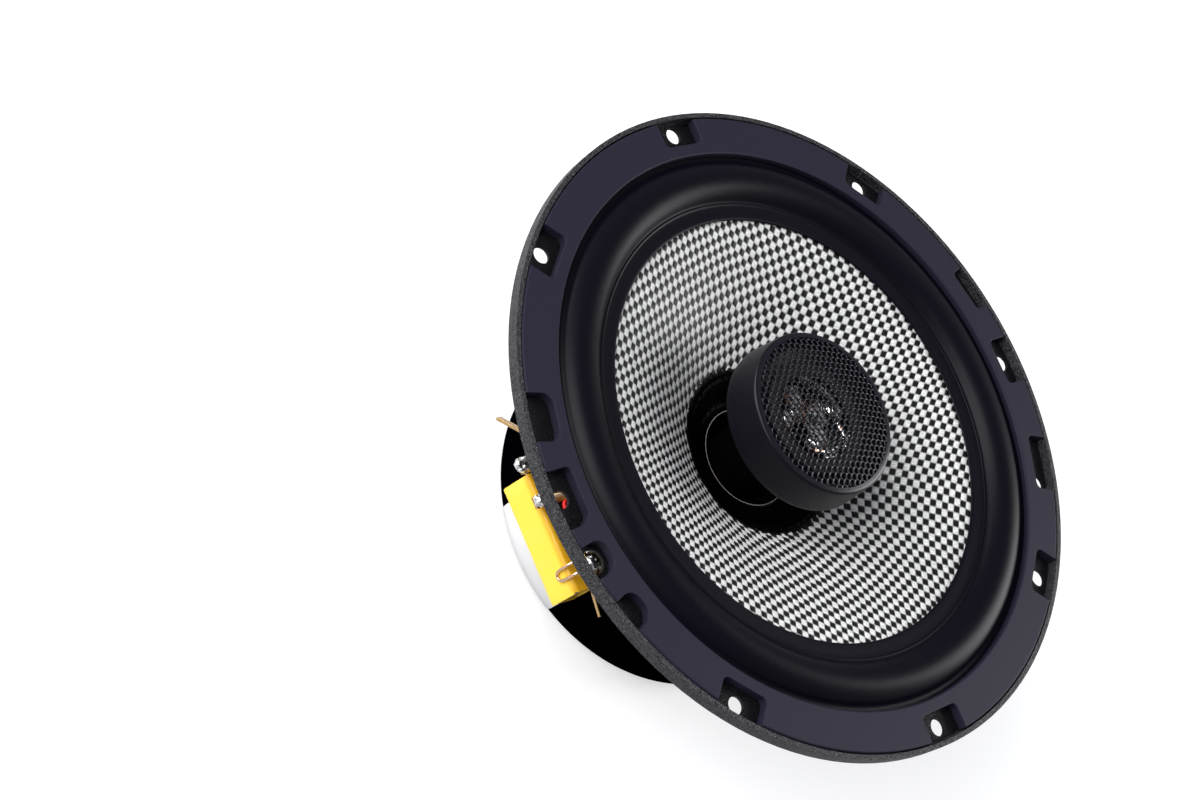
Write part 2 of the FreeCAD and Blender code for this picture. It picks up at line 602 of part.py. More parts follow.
def terminal_rivets():
    parts = []
    for i, x in enumerate(("rivet_x", "-rivet_x")):
        shank = feature("Part::Cylinder", f"SmallShank{i}", Radius="small_rivet_radius - 0.03",
                        Height="sheet_thick + board_thick")
        head = feature("Part::Cylinder", f"SmallHead{i}", Radius="small_rivet_radius + 0.9",
                       Height="small_head_thick")
        foot = feature("Part::Cylinder", f"SmallFoot{i}", Radius="small_rivet_radius + 0.7",
                       Height="small_head_thick")
        for item, level in ((shank, "board_level - sheet_thick"), (head, BOARD_TOP),
                            (foot, "board_level - sheet_thick - small_head_thick")):
            bind(item, "Placement.Base.x", x)
            bind(item, "Placement.Base.y", "wire_hole_y")
            bind(item, "Placement.Base.z", level)
            parts.append(item)
    finished(joined("TerminalRivets", parts), "terminal_rivets")


def terminal(label, side, plan, slope):
    """A flat strip on the board that ends in a blade; side is -1 or +1 along X."""
    body = new_body(label)
    blade_plan = [("16.4", "strip_outer_y"), ("16.4", "blade_outer_y"), ("blade_root_x", "blade_outer_y"),
                  ("blade_root_x", "strip_inner_y")]
    flat = outline(body, label + "Plan", "XY_Plane", [(f"{side} * ({x})", y) for x, y in plan + blade_plan],
                   Placement(Vector(0, 0, val(BOARD_TOP)), Rotation()))
    strip = body.newObject("PartDesign::Pad", label + "Strip")
    strip.Profile = flat
    bind(strip, "Length", "blade_thick")
    body.Tip = strip
    doc.recompute()
    bent = outline(body, label + "Bend", "XZ_Plane", [(f"{side} * ({x})", z) for x, z in slope],
                   Placement(Vector(0, 0, -val("blade_outer_y + blade_width")), Rotation()))
    blade = body.newObject("PartDesign::Pad", label + "Blade")
    blade.Profile = bent
    bind(blade, "Length", "blade_width")
    body.Tip = blade
    doc.recompute()


def terminals():
    tag_end = "solder_y - tag_length"
    overlap = "blade_root_x - 1.1"
    bent_down = [(overlap, BOARD_TOP), ("blade_root_x", BOARD_TOP),
                 ("blade_reach", f"{BOARD_TOP} - blade_drop + 0.2"),
                 ("blade_reach + 0.6", f"{STRIP_TOP} - blade_drop"), ("blade_root_x + 0.3", STRIP_TOP),
                 (overlap, STRIP_TOP)]
    terminal("terminal_positive", -1, [
        ("2", "strip_inner_y"), ("2", tag_end), ("5", tag_end), ("5", "strip_outer_y"),
        ("10.6", "strip_outer_y"), ("10.6", tag_end), ("14.2", tag_end),
        ("14.2", "strip_outer_y")], bent_down)
    terminal("terminal_negative", 1, [("8.4", "strip_inner_y"), ("8.4", "strip_outer_y")],
             box_corners(overlap, "blade_reach", BOARD_TOP, STRIP_TOP))


def solder_joints():
    spots = (("-12.4", "solder_y - 0.4", 2.1), ("-3.6", "solder_y", 1.6), ("13.5", "-65", 2),
             ("9.9", "-64.2", 1.5), ("-15.4", "-64.2", 1.5))
    domes = []
    for i, (x, y, radius) in enumerate(spots):
        dome = feature("Part::Sphere", f"Solder{i}")
        dome.Radius = radius
        dome.Angle1 = 0
        bind(dome, "Placement.Base.x", x)
        bind(dome, "Placement.Base.y", y)
        bind(dome, "Placement.Base.z", STRIP_TOP)
        domes.append(dome)
    finished(joined("SolderJoints", domes), "solder_joints")


def capacitor():
    block = feature("Part::Box", "CapacitorBlock", Length="capacitor_length", Width="capacitor_depth",
                    Height="capacitor_height")
    bind(block, "Placement.Base.x", "capacitor_left")
    bind(block, "Placement.Base.y", "capacitor_front")
    bind(block, "Placement.Base.z", "board_level - 0.1 - capacitor_height")
    doc.recompute()
    rounded = doc.addObject("Part::Fillet", "Capacitor")
    rounded.Base = block
    fillet = val("capacitor_fillet")
    rounded.Edges = [(i + 1, fillet, fillet) for i in range(len(block.Shape.Edges))]
    finished(rounded, "capacitor")
    left = [(-10.5, -66, -21.5), (-15, -66, -21.3), (-15.3, -67.6, -13.2), (-12.6, -71, -13.1)]
    right = [(13.2, -64.9, -13.4), (14.4, -68, -13.1), (14.6, -70.85, -14.6), (14.6, -70.85, -19.8),
             (12.1, -70.85, -19.8), (12.1, -70.85, -14.6), (11.6, -67.6, -13.3)]
    tube("capacitor_lead_left", left, val("lead_radius"))
    tube("capacitor_lead_right", right, val("lead_radius"))


def tweeter_wires():
    """Two wires from the terminals, down the rib, past the magnet inside the boot and up the post."""
    red_start = [(9.4, -64.4, -13.5), (5, -66.2, -12.7), (-2.2, -67.4, -12.2), (-0.2, -63.2, -12.6)]
    tan_start = [(-3.4, -70.8, -13.4), (-3.6, -68.6, -12.4), (-3, -65, -12.3)]
    for label, x, start in (("tweeter_wire_red", 1.1, red_start), ("tweeter_wire_tan", -1.1, tan_start)):
        route = start + [
            (x, -60.2, -13.2), (x, -59.4, -20), (x, -55, -27), (x, -46.4, -32.6), (x, -45.1, -36.5),
            (x, -45.1, -45), (x, -45.2, -58), (x, -42.1, -63.2), (x, -38.5, -64.25), (x, -24, -64.3),
            (x, -7, -64.3), (x, -1.6, -62.6), (x, -1, -56), (x, -1.1, -28), (x, -0.9, -0.4)]
        tube(label, route, val("wire_radius"))


def tinsel_leads():
    """Two braided leads that hang between the terminals and the back of the cone."""
    right = [(15.4, -64, -13.1), (14.6, -59, -12.6), (13.4, -54, -14.6), (11.6, -47.5, -18.6),
             (9.4, -40, -19.6), (8, -33.5, -17.4), (7.1, -28.2, -12.75)]
    left = [(-x, y, z) for x, y, z in right]
    tube("tinsel_lead_negative", right, val("tinsel_radius"))
    tube("tinsel_lead_positive", left, val("tinsel_radius"))


# ---------------------------------------------------------------- build, check and write

for build in (basket, trim_ring, surround, spider, cone, cone_collar, voice_coil, motor, basket_rivets, boot,
              magnet_label, tweeter, terminal_board, terminal_rivets, terminals, solder_joints, capacitor,
              tweeter_wires, tinsel_leads):
    build()
doc.recompute()

for item in doc.Objects:
    if {"Invalid", "Error"} & set(item.State):
        raise RuntimeError(f"{item.Label} did not rebuild: {item.State}")
for piece in pieces:
    if piece.Shape.isNull() or not piece.Shape.isValid():
        raise RuntimeError(f"{piece.Label} has no valid shape")

os.makedirs("parts", exist_ok=True)
for piece in pieces:
    piece.Shape.exportStep(f"parts/{piece.Label}.step")
    box = piece.Shape.BoundBox
    print(f"{piece.Label:24s} solids {len(piece.Shape.Solids)} volume {piece.Shape.Volume:10.2f} "
          f"z {box.ZMin:7.2f} {box.ZMax:7.2f} x {box.XMin:7.2f} {box.XMax:7.2f}")
print(len(pieces), "sub-parts")
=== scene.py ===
import math

import bmesh
import bpy
import numpy as np
from mathutils import Matrix, Vector, noise


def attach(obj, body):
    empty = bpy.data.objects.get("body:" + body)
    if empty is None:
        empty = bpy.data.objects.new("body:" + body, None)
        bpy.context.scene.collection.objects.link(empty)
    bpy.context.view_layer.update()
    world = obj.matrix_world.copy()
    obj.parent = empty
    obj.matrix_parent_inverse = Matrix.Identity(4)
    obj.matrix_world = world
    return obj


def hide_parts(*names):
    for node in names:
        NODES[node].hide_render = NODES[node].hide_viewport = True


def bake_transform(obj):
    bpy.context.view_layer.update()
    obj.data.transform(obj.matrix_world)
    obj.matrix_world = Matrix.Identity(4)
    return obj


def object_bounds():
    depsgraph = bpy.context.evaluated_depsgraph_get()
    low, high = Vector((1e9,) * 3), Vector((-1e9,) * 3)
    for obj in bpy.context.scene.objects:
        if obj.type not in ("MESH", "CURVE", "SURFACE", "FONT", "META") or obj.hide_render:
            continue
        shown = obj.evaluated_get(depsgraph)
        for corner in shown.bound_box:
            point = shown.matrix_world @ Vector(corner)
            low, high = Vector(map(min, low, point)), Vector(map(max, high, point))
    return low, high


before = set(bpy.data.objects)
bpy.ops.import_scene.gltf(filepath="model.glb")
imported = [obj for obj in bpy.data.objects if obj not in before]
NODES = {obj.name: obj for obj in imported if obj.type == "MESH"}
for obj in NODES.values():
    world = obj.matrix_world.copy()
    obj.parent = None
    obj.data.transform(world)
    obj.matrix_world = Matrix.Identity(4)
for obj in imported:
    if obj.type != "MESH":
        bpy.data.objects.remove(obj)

CAD_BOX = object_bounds()
MM = 0.001
MICRON = 0.000001
TAU = 2 * math.pi

# ---------------------------------------------------------------- camera

CAMERA_PLACE = (0.059988, -0.378766, 0.366522)
RIGHT = Vector((0.39126, 0.73049, 0.55973))
UP = Vector((-0.90627, 0.20015, 0.37230))
BACK = Vector((0.15993, -0.65294, 0.74034))


def view_space(x, y, z):
    """A direction given along the camera's right, up and backward axes, from the part's origin."""
    return RIGHT * x + UP * y + BACK * z


camera = bpy.data.objects.new("camera", bpy.data.cameras.new("camera"))
bpy.context.scene.collection.objects.link(camera)
camera.matrix_world = Matrix.Translation(CAMERA_PLACE) @ Matrix((RIGHT, UP, BACK)).transposed().to_4x4()
camera.data.lens = 66
camera.data.sensor_width = 36
camera.data.clip_start = 0.01
camera.data.clip_end = 50
bpy.context.scene.camera = camera


# ---------------------------------------------------------------- materials

class Paint:
    """A node material with a Principled shader, and short calls that add procedural detail to it."""

    def __init__(self, name, colour, roughness=0.5, metallic=0.0, specular=0.5, **extra):
        self.material = bpy.data.materials.new(name)
        self.material.use_nodes = True
        self.tree = self.material.node_tree
        self.shader = self.tree.nodes["Principled BSDF"]
        self.shader.inputs["Base Color"].default_value = (*colour, 1)
        self.shader.inputs["Roughness"].default_value = roughness
        self.shader.inputs["Metallic"].default_value = metallic
        self.shader.inputs["Specular IOR Level"].default_value = specular
        for key, value in extra.items():
            self.shader.inputs[key.replace("_", " ")].default_value = value
        self.colour = colour
        self.place = self.tree.nodes.new("ShaderNodeTexCoord").outputs["Object"]
        self.height = None

    def link(self, source, target):
        self.tree.links.new(source, target)

    def math(self, operation, *values):
        node = self.tree.nodes.new("ShaderNodeMath")
        node.operation = operation
        for socket, value in zip(node.inputs, values):
            self.feed(value, socket)
        return node.outputs[0]

    def feed(self, value, socket):
        if hasattr(value, "links"):
            self.link(value, socket)
        else:
            socket.default_value = value

    def dot(self, vector, constants):
        node = self.tree.nodes.new("ShaderNodeVectorMath")
        node.operation = "DOT_PRODUCT"
        self.feed(vector, node.inputs[0])
        node.inputs[1].default_value = constants
        return node.outputs["Value"]

    def combined(self, x, y, z):
        node = self.tree.nodes.new("ShaderNodeCombineXYZ")
        for socket, value in zip(node.inputs, (x, y, z)):
            self.feed(value, socket)
        return node.outputs[0]

    def radius(self):
        """Distance from the speaker's axis."""
        node = self.tree.nodes.new("ShaderNodeVectorMath")
        node.operation = "MULTIPLY"
        self.link(self.place, node.inputs[0])
        node.inputs[1].default_value = (1, 1, 0)
        length = self.tree.nodes.new("ShaderNodeVectorMath")
        length.operation = "LENGTH"
        self.link(node.outputs[0], length.inputs[0])
        return length.outputs["Value"]

    def azimuth(self):
        """Angle round the speaker's axis, from +X."""
        node = self.tree.nodes.new("ShaderNodeSeparateXYZ")
        self.link(self.place, node.inputs[0])
        return self.math("ARCTAN2", node.outputs["Y"], node.outputs["X"])

    def level(self):
        """Height along the speaker's axis."""
        return self.dot(self.place, (0, 0, 1))

    def noise(self, scale, detail=2.0, roughness=0.5, vector=None):
        node = self.tree.nodes.new("ShaderNodeTexNoise")
        node.inputs["Scale"].default_value = scale
        node.inputs["Detail"].default_value = detail
        node.inputs["Roughness"].default_value = roughness
        self.link(vector or self.place, node.inputs["Vector"])
        return node.outputs["Fac"]

    def cells(self, scale, feature="F1"):
        node = self.tree.nodes.new("ShaderNodeTexVoronoi")
        node.feature = feature
        node.inputs["Scale"].default_value = scale
        self.link(self.place, node.inputs["Vector"])
        return node.outputs["Distance"]

    def spread(self, value, low, high, to_low=0.0, to_high=1.0):
        """A smooth step from one number to another while the value goes from low to high."""
        node = self.tree.nodes.new("ShaderNodeMapRange")
        node.interpolation_type = "SMOOTHSTEP"
        for name, number in (("From Min", low), ("From Max", high), ("To Min", to_low), ("To Max", to_high)):
            node.inputs[name].default_value = number
        self.link(value, node.inputs["Value"])
        return node.outputs["Result"]

    def mix(self, share, first, second):
        node = self.tree.nodes.new("ShaderNodeMix")
        node.data_type = "RGBA"
        self.feed(share, node.inputs["Factor"])
        for value, socket in ((first, node.inputs[6]), (second, node.inputs[7])):
            self.feed(value if hasattr(value, "links") else (*value, 1), socket)
        return node.outputs[2]

    def tint(self, share, second):
        """Fade the base colour to a second colour."""
        socket = self.shader.inputs["Base Color"]
        first = socket.links[0].from_socket if socket.links else self.colour
        self.link(self.mix(share, first, second), socket)

    def rough(self, value):
        self.link(value, self.shader.inputs["Roughness"])

    def bump(self, value, microns):
        """Raise the surface by a value, this deep where it is 1, on top of any earlier bump."""
        node = self.tree.nodes.new("ShaderNodeBump")
        node.inputs["Distance"].default_value = microns * MICRON
        self.link(value, node.inputs["Height"])
        if self.height:
            self.link(self.height, node.inputs["Normal"])
        self.height = node.outputs["Normal"]
        self.link(self.height, self.shader.inputs["Normal"])


def coat_paint():
    p = Paint("textured_black_coat", (0.0026, 0.0026, 0.0038), 0.38, specular=0.24)
    p.bump(p.spread(p.cells(3600, "SMOOTH_F1"), 0.0, 0.75, 1.0, 0.0), 130)
    p.bump(p.noise(7500, 2), 40)
    # along the raised rim the coat is lighter grey in patches, and carries painted glints: near-white specks
    # that stand in for light sparkling off the grain
    on_rim = p.spread(p.radius(), 80.8 * MM, 81.2 * MM)
    rim_patches = p.spread(p.noise(1500, 3, 0.6), 0.35, 0.62)
    painted_glints = p.spread(p.noise(5200, 1, 0.7), 0.60, 0.72)
    p.tint(p.math("MULTIPLY", on_rim, rim_patches), (0.034, 0.034, 0.038))
    p.tint(p.math("MULTIPLY", on_rim, painted_glints), (0.240, 0.240, 0.255))
    return p.material


def trim_paint():
    p = Paint("trim_plastic", (0.0185, 0.0165, 0.0305), 0.50, specular=0.15)
    p.bump(p.noise(6500, 3, 0.6), 16)
    return p.material


def rubber_paint():
    p = Paint("surround_rubber", (0.0027, 0.0021, 0.0056), 0.40, specular=0.11)
    p.bump(p.noise(3000, 3, 0.6), 20)
    dust = p.spread(p.cells(230), 0.0, 0.022, 1.0, 0.0)
    some = p.spread(p.noise(45, 1), 0.60, 0.64)
    p.tint(p.math("MULTIPLY", dust, some), (0.16, 0.16, 0.18))
    return p.material


def boot_paint():
    p = Paint("boot_rubber", (0.0003, 0.0003, 0.0007), 0.60, specular=0.0)
    p.bump(p.noise(3200, 3, 0.6), 20)
    return p.material


def cup_paint():
    p = Paint("cup_plastic", (0.0022, 0.0018, 0.0050), 0.34, specular=0.26)
    p.bump(p.noise(7000, 3, 0.6), 12)
    return p.material


# the cone's cloth, seen from the front: tows per metre across each set, and how far pressing the cloth into
# a cone has sheared it, as a wave round the axis (size, phase)
TOW_A, DRAPE_A = (420.3, -346.5, 0), (19.6, 2.08)
TOW_B, DRAPE_B = (411.3, 506.1, 0), (23.1, -2.75)
DRAPE_PERIODS = 3
GLUE_FROM, GLUE_TO = 21.9, 22.2


def cone_paint():
    p = Paint("woven_fibre", (0.70, 0.70, 0.69), 0.42, specular=0.16)
    drift = p.math("MULTIPLY", p.math("SUBTRACT", p.noise(55, 1), 0.5), 0.45)

    def tows(across, drape):
        size, phase = drape
        wave = p.math("COSINE", p.math("MULTIPLY_ADD", p.azimuth(), DRAPE_PERIODS, phase))
        shear = p.math("MULTIPLY", p.math("MULTIPLY", p.radius(), size), wave)
        return p.math("ADD", p.math("ADD", p.dot(p.place, across), drift), shear)

    a, b = tows(TOW_A, DRAPE_A), tows(TOW_B, DRAPE_B)
    wave_a, wave_b = (p.math("SINE", p.math("MULTIPLY", count, math.pi)) for count in (a, b))
    check = p.math("MULTIPLY", wave_a, wave_b)

    def fibres(along_a, along_b, layer):
        """Fine fibres along a tow, stretched by how fast they change across each set of tows."""
        stretched = p.combined(p.math("MULTIPLY", a, along_a), p.math("MULTIPLY", b, along_b), layer)
        return p.noise(1.0, 2, 0.6, stretched)

    white_fibre, dark_fibre = fibres(9.0, 0.9, 0.0), fibres(0.9, 9.0, 3.0)
    white = p.mix(p.spread(white_fibre, 0.35, 0.70), (0.60, 0.60, 0.60), (0.95, 0.95, 0.93))
    dark = p.mix(p.spread(dark_fibre, 0.35, 0.75), (0.0040, 0.0040, 0.0045), (0.022, 0.022, 0.023))
    # the edge of each white tow stays in view beside the dark cells
    tow_edge = p.spread(p.math("ABSOLUTE", wave_a), 0.16, 0.34, 0.85, 0.0)
    edge = p.math("MAXIMUM", p.spread(check, -0.15, 0.01), tow_edge)
    # the white tows are painted grey towards the dark cells: painted shade where each tow dips under the
    # cross tow
    white_painted_shade = p.mix(p.spread(check, -0.05, 0.30), (0.34, 0.34, 0.34), white)
    cloth = p.mix(edge, dark, white_painted_shade)
    # black adhesive creeps over the cloth at the neck
    ragged = p.math("MULTIPLY", p.math("SUBTRACT", p.noise(700, 2), 0.5), 3 * MM)
    glue = p.spread(p.math("ADD", p.radius(), ragged), GLUE_FROM * MM, GLUE_TO * MM)
    p.link(p.mix(glue, (0.002, 0.002, 0.002), cloth), p.shader.inputs["Base Color"])
    pillow = p.math("POWER", p.math("ABSOLUTE", check), 0.5)
    p.bump(pillow, 160)
    p.bump(white_fibre, 40)
    p.rough(p.spread(check, -0.3, 0.3, 0.36, 0.50))
    return p.material


def collar_paint():
    p = Paint("collar_paper", (0.0005, 0.0005, 0.0006), 0.45, specular=0.01)
    p.bump(p.noise(700, 4, 0.6), 140)
    p.rough(p.spread(p.noise(900, 3), 0.4, 0.75, 0.22, 0.70))
    return p.material


def spider_paint():
    p = Paint("spider_cloth", (0.115, 0.040, 0.022), 0.60, specular=0.35, Sheen_Weight=0.15)
    warp = p.math("SINE", p.dot(p.place, (5200, 900, 0)))
    weft = p.math("SINE", p.dot(p.place, (-900, 5200, 0)))
    weave = p.math("MULTIPLY", warp, weft)
    p.bump(weave, 80)
    p.tint(p.spread(weave, -0.6, 0.8), (0.190, 0.070, 0.036))
    p.tint(p.spread(p.noise(160, 3), 0.5, 0.75), (0.070, 0.026, 0.016))
    p.rough(p.spread(p.noise(400, 2), 0.3, 0.7, 0.48, 0.70))
    return p.material


def former_paint():
    p = Paint("former_polyimide", (0.0020, 0.0015, 0.0014), 0.30, specular=0.12)
    # a thin light band at the tube's front edge is a painted highlight, standing in for light catching the
    # rim
    painted_rim_highlight = p.spread(p.level(), -21.09 * MM, -21.04 * MM)
    p.tint(painted_rim_highlight, (0.34, 0.30, 0.27))
    return p.material


def copper_paint():
    p = Paint("copper_wire", (0.62, 0.24, 0.10), 0.28, metallic=1.0)
    turns = p.math("ABSOLUTE", p.math("SINE", p.math("MULTIPLY", p.level(), math.pi / (0.25 * MM))))
    p.bump(turns, 90)
    # the grooves between turns are painted darker: painted shade in the creases of the winding
    p.tint(p.spread(turns, 0.25, 0.0), (0.20, 0.07, 0.03))
    p.rough(p.spread(p.noise(900, 2), 0.3, 0.7, 0.22, 0.36))
    return p.material


def metal_paint(name, colour, darker, roughness):
    """Plated or machined metal, with turning marks round the axis."""
    p = Paint(name, colour, roughness, metallic=1.0)
    rings = p.combined(p.math("MULTIPLY", p.radius(), 5200.0), 0.0, 0.0)
    p.bump(p.noise(1.0, 3, 0.7, rings), 20)
    p.bump(p.noise(420, 3, 0.6), 20)
    p.tint(p.spread(p.noise(110, 4), 0.42, 0.75), darker)
    p.rough(p.spread(p.noise(252, 3), 0.3, 0.75, roughness - 0.06, roughness + 0.12))
    return p.material


def ferrite_paint():
    p = Paint("ferrite", (0.032, 0.031, 0.031), 0.62, specular=0.35)
    p.bump(p.noise(1400, 4, 0.65), 60)
    p.tint(p.spread(p.noise(420, 4), 0.5, 0.7), (0.060, 0.058, 0.056))
    return p.material


def label_paint():
    p = Paint("label_paper", (0.70, 0.70, 0.71), 0.40, specular=0.3)
    p.bump(p.noise(900, 3), 10)
    p.tint(p.spread(p.noise(90, 3), 0.45, 0.8), (0.66, 0.66, 0.665))
    return p.material


def anodised_paint():
    p = Paint("black_anodised", (0.0015, 0.0015, 0.0020), 0.34, specular=0.15)
    lathe_marks = p.combined(0.0, 0.0, p.math("MULTIPLY", p.level(), 5000.0))
    p.bump(p.noise(1.0, 3, 0.7, lathe_marks), 20)
    return p.material


def mesh_paint():
    p = Paint("black_mesh", (0.0060, 0.0054, 0.0105), 0.22, specular=0.34)
    p.bump(p.noise(4200, 2), 20)
    return p.material


def foil_paint():
    p = Paint("dome_foil", (0.92, 0.90, 0.86), 0.09, metallic=1.0)
    p.bump(p.noise(150, 1, 0.5), 5200)
    p.tint(p.spread(p.noise(230, 2), 0.50, 0.66), (0.42, 0.22, 0.14))
    p.tint(p.spread(p.noise(170, 1), 0.50, 0.54), (0.006, 0.006, 0.007))
    return p.material


def cloth_paint():
    p = Paint("damped_cloth", (0.020, 0.019, 0.021), 0.55, specular=0.4)
    weave = p.math("MULTIPLY", p.math("SINE", p.dot(p.place, (9000, 0, 0))),
                   p.math("SINE", p.dot(p.place, (0, 9000, 0))))
    p.bump(weave, 40)
    p.tint(p.spread(weave, -0.4, 0.9), (0.038, 0.036, 0.038))
    return p.material


def board_paint():
    p = Paint("phenolic_board", (0.018, 0.012, 0.009), 0.46, specular=0.4)
    p.bump(p.noise(1800, 3), 30)
    p.tint(p.spread(p.noise(300, 4), 0.45, 0.75), (0.032, 0.021, 0.014))
    return p.material


def gold_paint():
    p = Paint("gold_brass", (0.78, 0.52, 0.24), 0.20, metallic=1.0)
    p.bump(p.noise(1400, 3), 20)
    p.tint(p.spread(p.noise(260, 3), 0.5, 0.8), (0.60, 0.38, 0.16))
    p.rough(p.spread(p.noise(800, 3), 0.3, 0.75, 0.14, 0.34))
    return p.material


def solder_paint():
    p = Paint("solder", (0.93, 0.93, 0.94), 0.15, metallic=1.0)
    p.bump(p.noise(900, 3, 0.5), 220)
    p.tint(p.spread(p.noise(700, 3), 0.56, 0.66), (0.10, 0.10, 0.11))
    p.rough(p.spread(p.noise(1200, 3), 0.3, 0.7, 0.12, 0.40))
    return p.material


def capacitor_paint():
    p = Paint("capacitor_yellow", (0.95, 0.66, 0.060), 0.34, specular=0.4)
    p.bump(p.noise(520, 2), 40)
    p.tint(p.spread(p.noise(130, 3), 0.42, 0.72), (0.94, 0.66, 0.08))
    # the tape is painted a deeper yellow along the top, where it faces the terminal board: painted shade for
    # that face, which is lit less than the front
    p.tint(p.spread(p.level(), -18.5 * MM, -16.4 * MM), (0.74, 0.40, 0.012))
    p.rough(p.spread(p.noise(420, 3), 0.3, 0.7, 0.28, 0.42))
    return p.material


def epoxy_paint():
    p = Paint("capacitor_epoxy", (0.30, 0.13, 0.012), 0.30, specular=0.5)
    p.bump(p.noise(620, 4, 0.6), 250)
    p.tint(p.spread(p.noise(420, 3), 0.45, 0.62), (0.020, 0.012, 0.006))
    return p.material


def copper_lead_paint():
    p = Paint("tinned_copper", (0.80, 0.52, 0.36), 0.20, metallic=1.0)
    p.tint(p.spread(p.noise(900, 3), 0.45, 0.70), (0.66, 0.60, 0.56))
    p.bump(p.noise(2500, 2), 20)
    return p.material


def sleeve_paint(name, colour, darker):
    p = Paint(name, colour, 0.34, specular=0.5)
    p.bump(p.noise(1500, 2), 30)
    p.tint(p.spread(p.noise(260, 3), 0.5, 0.8), darker)
    return p.material


def braid_paint():
    p = Paint("braided_lead", (0.42, 0.38, 0.33), 0.34, metallic=0.85)
    p.bump(p.noise(3200, 3), 60)
    p.tint(p.spread(p.noise(1600, 3), 0.5, 0.7), (0.13, 0.10, 0.08))
    return p.material


PAINTS = {
    "textured_black_coat": coat_paint(), "trim_plastic": trim_paint(), "surround_rubber": rubber_paint(),
    "spider_cloth": spider_paint(), "woven_fibre": cone_paint(), "collar_paper": collar_paint(),
    "former_polyimide": former_paint(), "copper_wire": copper_paint(),
    "zinc_steel": metal_paint("zinc_steel", (0.52, 0.52, 0.53), (0.40, 0.40, 0.41), 0.34),
    "ferrite": ferrite_paint(), "boot_rubber": boot_paint(), "label_paper": label_paint(),
    "black_anodised": anodised_paint(), "cup_plastic": cup_paint(), "black_mesh": mesh_paint(),
    "neodymium_nickel": metal_paint("neodymium_nickel", (0.62, 0.60, 0.57), (0.50, 0.49, 0.47), 0.22),
    "dome_foil": foil_paint(), "damped_cloth": cloth_paint(), "phenolic_board": board_paint(),
    "gold_brass": gold_paint(), "solder": solder_paint(), "capacitor_yellow": capacitor_paint(),
    "capacitor_epoxy": epoxy_paint(), "tinned_copper": copper_lead_paint(),
    "wire_red": sleeve_paint("wire_red", (0.90, 0.012, 0.014), (0.70, 0.008, 0.010)),
    "wire_tan": sleeve_paint("wire_tan", (0.88, 0.66, 0.42), (0.78, 0.54, 0.30)),
    "braided_lead": braid_paint(),
}


# ---------------------------------------------------------------- mesh helpers

FLAT_ANGLE, SHARP_ANGLE = math.radians(0.6), math.radians(32)


def placed(name, mesh, paint, sharp=40.0):
    """A new object from a mesh whose points are in the row frame, in metres."""
    piece = bpy.data.objects.new(name, mesh)
    bpy.context.scene.collection.objects.link(piece)
    mesh.materials.clear()
    mesh.materials.append(PAINTS[paint])
    mesh.shade_smooth()
    if sharp:
        mesh.set_sharp_from_angle(angle=math.radians(sharp))
    return piece


def held(piece, body, slot, *nodes):
    """Ride on a body and stand for CAD nodes, which are hidden; the slot is not used."""
    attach(piece, body)
    if nodes:
        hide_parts(*nodes)


def painted(node, paint):
    """Give a CAD node that stays in view its material."""
    node = NODES[node]
    if not node.data.materials:
        node.data.materials.append(PAINTS[paint])
    for place in node.material_slots:
        place.material = PAINTS[paint]


def faceted(points, faces):
    """A mesh from points in metres and faces."""
    mesh = bpy.data.meshes.new("made")
    mesh.from_pydata([tuple(point) for point in points], [], faces)
    mesh.validate()
    mesh.update()
    return mesh


def rounded(profile, steps=4):
    """Replace each corner (r, z, fillet) of a profile by a short curve; (r, z) corners stay sharp."""
    corners = [(Vector(p[:2]), p[2] if len(p) > 2 else 0) for p in profile]
    out = []
    for i, (corner, fillet) in enumerate(corners):
        if not fillet or i in (0, len(corners) - 1):
            out.append(corner)
            continue
        before, after = corners[i - 1][0] - corner, corners[i + 1][0] - corner
        reach = min(fillet, before.length * 0.48, after.length * 0.48)
        first, last = corner + before.normalized() * reach, corner + after.normalized() * reach
        for k in range(steps + 1):
            t = k / steps
            out.append(first * (1 - t)**2 + corner * 2 * t * (1 - t) + last * t**2)
    return [(p.x, p.y) for p in out]


def lathe(profile, segments=192, closed=True, start=0.0, turn=360.0):
    """Turn a profile of (radius, height) points in mm about the axis."""
    whole = abs(turn - 360) < 1e-6
    columns = segments if whole else segments + 1
    points, index = [], []
    for r, z in profile:
        if r < 1e-6:
            points.append((0, 0, z * MM))
            index.append([len(points) - 1] * columns)
            continue
        row = []
        for k in range(columns):
            angle = math.radians(start + turn * k / segments)
            points.append((r * math.cos(angle) * MM, r * math.sin(angle) * MM, z * MM))
            row.append(len(points) - 1)
        index.append(row)
    faces = []
    rows = len(profile)
    for i in range(rows if closed else rows - 1):
        lower, upper = index[i], index[(i + 1) % rows]
        for k in range(segments):
            n = (k + 1) % columns
            ring = [lower[k], lower[n], upper[n], upper[k]]
            face = [v for j, v in enumerate(ring) if v not in ring[:j]]
            if len(face) > 2:
                faces.append(face)
    if not whole and closed:
        faces.append([row[0] for row in index])
        faces.append([row[-1] for row in reversed(index)])
    mesh = faceted(points, faces)
    shape = bmesh.new()
    shape.from_mesh(mesh)
    bmesh.ops.recalc_face_normals(shape, faces=shape.faces)
    shape.to_mesh(mesh)
    shape.free()
    return mesh


